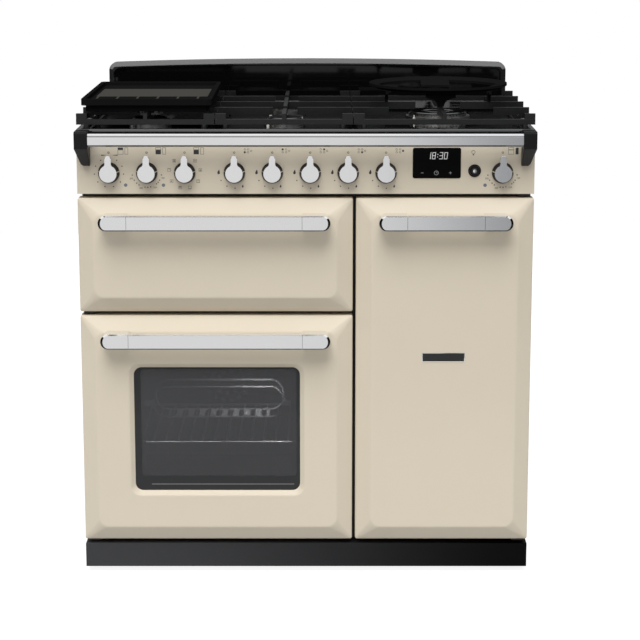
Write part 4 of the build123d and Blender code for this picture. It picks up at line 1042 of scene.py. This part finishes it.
class COOKER_OT_print(bpy.types.Operator):
    """Dials, numbers and signs printed around the knobs"""
    bl_idname = "cooker.print"
    bl_label = "Dial print"

    def execute(self, context):
        y = PANEL_Y - PRINT_GAP
        zero_rise, wedge_rise, icon_rise, number_size = 0.0393, 0.0342, 0.036, 0.0046
        bm = bmesh.new()
        dots = []
        lenses = []
        for name in KNOBS:
            x, z = knob_axis(name)
            ring_mark(bm, x, z + zero_rise, 0.0016, 0.0009, y)
        x, z = axis = knob_axis("grill_knob")
        dots += [on_dial(axis, 0.0287, side * a) for a in (33, 64, 96, 130, 163) for side in (-1, 1)]
        for start, end in ((-0.0053, -0.0145), (0.0078, 0.0178)):
            half, level = 0.0011, z + wedge_rise
            wedge = [(x + start, level - half / 4), (x + end, level - half),
                     (x + end, level + half), (x + start, level + half / 4)]
            flat(bm, wedge if end > start else list(reversed(wedge)), y)
        cavity_icon(bm, x + 0.0182, z + icon_rise, "grill", y)
        lenses.append((x + 0.0322, z - 0.0247))
        for name, icon_x, lens_x, filled in (("main_oven_knob", 0.0178, 0.0322, "wide"),
                                             ("tall_oven_knob", 0.0110, -0.0338, "tall")):
            x, z = axis = knob_axis(name)
            dots += [on_dial(axis, 0.0290, a) for a in (99, 121, 131, 140, 166, 177, 188, 213, 224, 239, 260)]
            for degrees, words in ((109, "100"), (152, "150"), (201, "200"), (249, "250")):
                text_mark(bm, words, *on_dial(axis, 0.0330, degrees), number_size, y)
            cavity_icon(bm, x + icon_x, z + icon_rise, filled, y)
            lenses.append((x + lens_x, z - 0.0249))
        x, z = axis = knob_axis("main_mode_knob")
        modes = ("fan", "fan low", "top low", "low", "fan top", "star", "top", "fan top low")
        for degrees, kind in zip((41, 80, 123, 162, -162, -123, -80, -41), modes):
            mode_icon(bm, *on_dial(axis, 0.0310, degrees), kind, y)
        cavity_icon(bm, x + 0.0178, z + icon_rise, "wide", y)
        lit = ((20.5, 40.0), (20.5, 45.6), (27.2, 45.6), (27.2, 40.0), (33.0, 42.8))
        for name, own in zip(GAS_KNOBS, lit):
            x, z = knob_axis(name)
            for spot in lit:
                at = x + spot[0] * MM, z + spot[1] * MM
                if spot == own:
                    flat(bm, circle(*at, 0.0021), y)
                else:
                    ring_mark(bm, *at, 0.0016, 0.0006, y)
            flame_icon(bm, x - 0.0310, z + 0.0013, 0.0070, 0.0090, y)
            flame_icon(bm, x + 0.0160, z - 0.0266, 0.0046, 0.0058, y)
            dots += [(x - 0.0262, z - 0.0155), (x - 0.0148, z - 0.0268), (x + 0.0010, z - 0.0308)]
        bulb_x, bulb_z = 0.3277, 0.8592
        ring_mark(bm, bulb_x, bulb_z, 0.0034, 0.0007, y)
        flat(bm, box_outline(bulb_x - 0.0014, bulb_z - 0.0062, bulb_x + 0.0014, bulb_z - 0.0040), y)
        add_piece("dial_print", bm, FIXED, panel_ink(), solid=False)
        add_dots("dial_dots", dots, y, sizes().dot_radius, panel_ink())
        add_dots("lamp_lenses", lenses, y, 0.0035, lens_grey())
        return {"FINISHED"}


SEGMENTS = {"1": "bc", "8": "abcdefg", "3": "abcdg", "0": "abcdef"}


class COOKER_OT_timer(bpy.types.Operator):
    """Gloss black touch timer with lit digits and dim signs"""
    bl_idname = "cooker.timer"
    bl_label = "Timer"

    def execute(self, context):
        softened("timer_display", display_gloss(), 0.0008)
        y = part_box("timer_display")[0].y - PRINT_GAP
        tall = sizes().digit_height
        wide = tall * 0.45
        lines = {"a": ((0, 1), (1, 1)), "b": ((1, 1), (1, 0.5)), "c": ((1, 0.5), (1, 0)),
                 "d": ((0, 0), (1, 0)), "e": ((0, 0.5), (0, 0)), "f": ((0, 1), (0, 0.5)),
                 "g": ((0, 0.5), (1, 0.5))}
        slant = 0.12
        base = 0.8462
        bm = bmesh.new()
        for left, digit in ((0.2378, "1"), (0.2470, "8"), (0.2612, "3"), (0.2704, "0")):
            for name in SEGMENTS[digit]:
                ends = []
                for u, v in lines[name]:
                    ends.append((left + u * wide + slant * v * tall, base + v * tall))
                stroke(bm, ends, 0.0010, y)
        for v in (0.3, 0.7):
            flat(bm, circle(0.2572 + slant * v * tall, base + v * tall, 0.0009), y)
        add_piece("clock_digits", bm, FIXED, lit_digits(), solid=False)
        bm = bmesh.new()
        z, minus, clock, plus, arm, line = 0.8186, 0.2281, 0.2555, 0.2831, 0.0021, 0.0009
        stroke(bm, [(minus - arm, z), (minus + arm, z)], line, y)
        ring_mark(bm, clock, z, 0.0040, 0.0008, y)
        stroke(bm, [(clock, z + 0.0026), (clock, z), (clock + 0.0018, z)], 0.0007, y)
        stroke(bm, [(plus - arm, z), (plus + arm, z)], line, y)
        stroke(bm, [(plus, z - arm), (plus, z + arm)], line, y)
        add_piece("timer_signs", bm, FIXED, dim_glow_and_painted_highlight(), solid=False)
        return {"FINISHED"}


class COOKER_OT_button(bpy.types.Operator):
    """Push button of the oven light in its black bezel"""
    bl_idname = "cooker.button"
    bl_label = "Light button"

    def execute(self, context):
        low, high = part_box("light_button")
        x, z = (low.x + high.x) / 2, (low.z + high.z) / 2
        radius = (high.x - low.x) / 2
        inner, outer, back, front = radius + 0.0003, radius + 0.0026, PANEL_Y - 0.00005, PANEL_Y - 0.0016
        bm = bmesh.new()
        turned(bm, x, z, [(inner, back), (outer, back), (outer, PANEL_Y - 0.0008), (outer - 0.0008, front),
                          (inner, front)], steps=48, capped=False)
        add_piece("light_button_bezel", bm, FIXED, moulded_black())
        seat, rim, dome = low.y + 0.0012, low.y + 0.0006, radius - 0.0044
        bm = bmesh.new()
        turned(bm, x, z, [(radius, high.y), (radius, seat), (radius - 0.0006, rim), (radius - 0.0036, rim),
                          (radius - 0.0042, seat)])
        add_piece("light_button_ring", bm, "lamp_button", moulded_black(), ("light_button",))
        turns = [pi / 2 * n / 8 for n in range(8)]
        profile = [(dome * cos(turn), seat - 0.0012 * sin(turn)) for turn in turns]
        bm = bmesh.new()
        turned(bm, x, z, [(dome, low.y + 0.0014), *profile], steps=40)
        # The dome is painted dark apart from its front-facing middle: painted reflection, with a painted
        # highlight in the middle
        add_piece("light_button_dome", bm, "lamp_button", chrome_painted_reflection(),
                  dark=lambda way: 0.95 * (way.y > -0.993))
        return {"FINISHED"}


class COOKER_OT_badge(bpy.types.Operator):
    """Bare dark plate with a fine bright rim on the tall oven's door"""
    bl_idname = "cooker.badge"
    bl_label = "Door plate"

    def execute(self, context):
        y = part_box("tall_door_panel")[0].y
        x0, x1, z0, z1 = 0.2302, 0.3151, 0.4436, 0.4621
        rim = 0.0012
        bm = bmesh.new()
        plate(bm, box_outline(x0, z0, x1, z1), y, 0.0009, 0.0003, segments=2)
        add_piece("door_plate_rim", bm, "tall_door", bright_chrome())
        bm = bmesh.new()
        plate(bm, box_outline(x0 + rim, z0 + rim, x1 - rim, z1 - rim), y - 0.0007, 0.0004, 0.0001, segments=1)
        add_piece("door_plate_face", bm, "tall_door", satin_black())
        return {"FINISHED"}


# Hob, carcass and inside
class COOKER_OT_hob(bpy.types.Operator):
    """Enamelled hob and splashback with burners, cast supports, griddle and wok ring"""
    bl_idname = "cooker.hob"
    bl_label = "Hob"

    def execute(self, context):
        softened("hotplate", black_enamel(), 0.0015)
        # The splashback's upward faces are marked for the painted highlight
        softened("splashback", splash_enamel_painted_highlight(), 0.0012, dark=lambda way: way.z > 0.2)
        for side in ("left", "centre", "right"):
            softened("pan_support_" + side, cast_iron(), 0.0012, "support_" + side)
        softened("wok_ring", cast_iron("ring_iron", 0.0), 0.0010, "wok_cradle")
        softened("griddle", griddle_iron(), 0.0010, "griddle_plate")
        softened("burner_caps", black_enamel(), 0.0010)
        return {"FINISHED"}


class COOKER_OT_carcass(bpy.types.Operator):
    """Finishes of the case, the ovens' insides, the grill and the gas rail"""
    bl_idname = "cooker.carcass"
    bl_label = "Case and insides"

    def execute(self, context):
        by_slot = {
            "black_paint": satin_black(), "oven_enamel": oven_enamel(), "zinc_steel": zinc_sheet(),
            "chrome_wire": chrome_wire(), "gas_brass": plain_brass(), "lamp_glass": lamp_cover(),
            "black_plastic": moulded_black(), "seal_rubber": soft_rubber(), "knob_chrome": knob_steel(),
            "cream_enamel": cream_enamel(), "black_enamel": black_enamel(), "brushed_steel": brushed_steel(),
            "cast_iron": cast_iron(), "griddle_iron": griddle_iron(), "burner_alloy": burner_alloy(),
            "display_black": display_gloss(), "ceramic_white": glazed_ceramic(),
            "window_glass": window_glass(),
        }
        for node in frame["nodes"]:
            paint(by_slot[slot_of(node)], node)
        paint(satin_black(), "hinge_brackets")
        paint(rack_satin(), "door_rack")
        softened("plinth", plinth_enamel_painted_shade(), 0.0010)
        return {"FINISHED"}


# Stage
class COOKER_OT_stage(bpy.types.Operator):
    """Pale floor, white background, soft light and the camera"""
    bl_idname = "cooker.stage"
    bl_label = "Stage"

    def execute(self, context):
        scene = context.scene
        self.add_floor()
        self.light_world(scene)
        self.add_lamps()
        self.add_camera(scene)
        scene.view_settings.view_transform = "Standard"
        return {"FINISHED"}

    def add_floor(self):
        mesh = bpy.data.meshes.new("floor")
        corners = [(-3.0, -1.6, 0.0), (3.0, -1.6, 0.0), (3.0, 4.0, 0.0), (-3.0, 4.0, 0.0)]
        mesh.from_pydata(corners, [], [(0, 1, 2, 3)])
        floor = linked("floor", mesh)

        def build(f):
            rays = f.node("ShaderNodeLightPath")
            seen = rays["Is Camera Ray"].most(rays["Is Glossy Ray"]).most(rays["Is Transmission Ray"])
            plain, pale = [f.node("ShaderNodeBsdfDiffuse", None, {"Color": (grey, grey, grey)})["BSDF"]
                           for grey in (0.45, 0.25)]
            lift = f.node("ShaderNodeEmission", None, {"Color": (1.0, 1.0, 1.0), "Strength": 0.88})[0]
            white = f.node("ShaderNodeAddShader", None, {0: pale, 1: lift})[0]
            shader = f.node("ShaderNodeMixShader", None, {0: seen, 1: plain, 2: white})[0]
            f.node("ShaderNodeOutputMaterial", None, {"Surface": shader})

        mesh.materials.append(finish_named("pale_floor", build))

    def light_world(self, scene):
        """Soft fill for matt surfaces; mirrors see a pale room, greyer ahead on the right and low behind."""
        world = bpy.data.worlds.new("studio")
        scene.world = world
        f = Finish(world)
        rays = f.node("ShaderNodeLightPath")
        way = f.node("ShaderNodeSeparateXYZ", None, {0: f.node("ShaderNodeTexCoord")["Generated"]})
        right = f.span(way["X"], 0.02, 0.11) * (1.0 - 0.7 * f.span(way["X"], 0.2, 0.5))
        front = 0.79 * (1.0 - 0.66 * right)
        front = front * (1.0 - 0.45 * f.span(abs(way["X"]), 0.3, 0.6))
        front = front + (1.0 - front) * f.span(way["Z"], 0.2, 0.5)
        behind = f.span(way["Y"], -0.1, 0.3)
        mirrored = front + (0.15 + 0.85 * f.span(way["Z"], 0.3, 0.7) - front) * behind
        fill = 0.12 + 0.40 * way["Z"].most(0.0) + 0.24 * (0.0 - way["Y"]).most(0.0)
        fill = fill + 0.16 * abs(way["X"])
        level = fill + rays["Is Glossy Ray"] * (mirrored - fill)
        seen = rays["Is Camera Ray"].most(rays["Is Transmission Ray"])
        level = level + seen * (1.0 - level)
        cool = f.mixed(right * rays["Is Glossy Ray"] * (1.0 - seen), (1.0, 1.0, 1.0), (0.93, 0.96, 1.0))
        back = f.node("ShaderNodeBackground", None, {"Color": cool, "Strength": level})
        f.node("ShaderNodeOutputWorld", None, {"Surface": back["Background"]})

    def add_lamps(self):
        height, turn = 57.0, -9.0
        lamp = bpy.data.lights.new("key", "SUN")
        lamp.energy = 2.28
        lamp.angle = radians(38.0)
        carrier = linked("key", lamp)
        carrier.rotation_euler = (radians(90.0 - height), 0.0, radians(turn))
        carrier.visible_glossy = False
        for name, power, size, place in (("oven_glow", 0.75, 0.08, (-0.07, -0.225, 0.455)),
                                         ("shelf_glow", 0.35, 0.40, (-0.155, -0.195, 0.305))):
            lamp = bpy.data.lights.new(name, "AREA")
            lamp.energy = power
            lamp.shape = "RECTANGLE"
            lamp.size = size
            lamp.size_y = 0.03
            linked(name, lamp).location = place

    def add_camera(self, scene):
        tilt, turn = 11.698, 0.012
        lens = bpy.data.cameras.new("camera")
        lens.lens = 114.37
        lens.sensor_width = 36.0
        camera = linked("camera", lens)
        camera.location = (0.0288, -4.2197, 1.3434)
        camera.rotation_euler = (radians(90.0 - tilt), 0.0, radians(turn))
        scene.camera = camera


STEPS = (COOKER_OT_carcass, COOKER_OT_doors, COOKER_OT_window, COOKER_OT_handles, COOKER_OT_rail,
         COOKER_OT_knobs, COOKER_OT_print, COOKER_OT_timer, COOKER_OT_button, COOKER_OT_badge, COOKER_OT_hob,
         COOKER_OT_stage)


class COOKER_PT_steps(bpy.types.Panel):
    """The cooker's steps, in order"""
    bl_idname = "COOKER_PT_steps"
    bl_label = "Range cooker"
    bl_space_type = "VIEW_3D"
    bl_region_type = "UI"
    bl_category = "Cooker"

    def draw(self, context):
        for step in STEPS:
            self.layout.operator(step.bl_idname)
        for settings in (context.scene.cooker_colours, context.scene.cooker_sizes):
            column = self.layout.column()
            for name in settings.__annotations__:
                column.prop(settings, name)


CLASSES = (CookerColours, CookerSizes, *STEPS, COOKER_PT_steps)


def register():
    for cls in CLASSES:
        bpy.utils.register_class(cls)
    bpy.types.Scene.cooker_colours = PointerProperty(type=CookerColours)
    bpy.types.Scene.cooker_sizes = PointerProperty(type=CookerSizes)


def unregister():
    del bpy.types.Scene.cooker_sizes
    del bpy.types.Scene.cooker_colours
    for cls in reversed(CLASSES):
        bpy.utils.unregister_class(cls)


def main():
    register()
    for name in ("carcass", "doors", "window", "handles", "rail", "knobs", "print", "timer", "button",
                 "badge", "hob", "stage"):
        getattr(bpy.ops.cooker, name)()


if __name__ == "__main__":
    main()
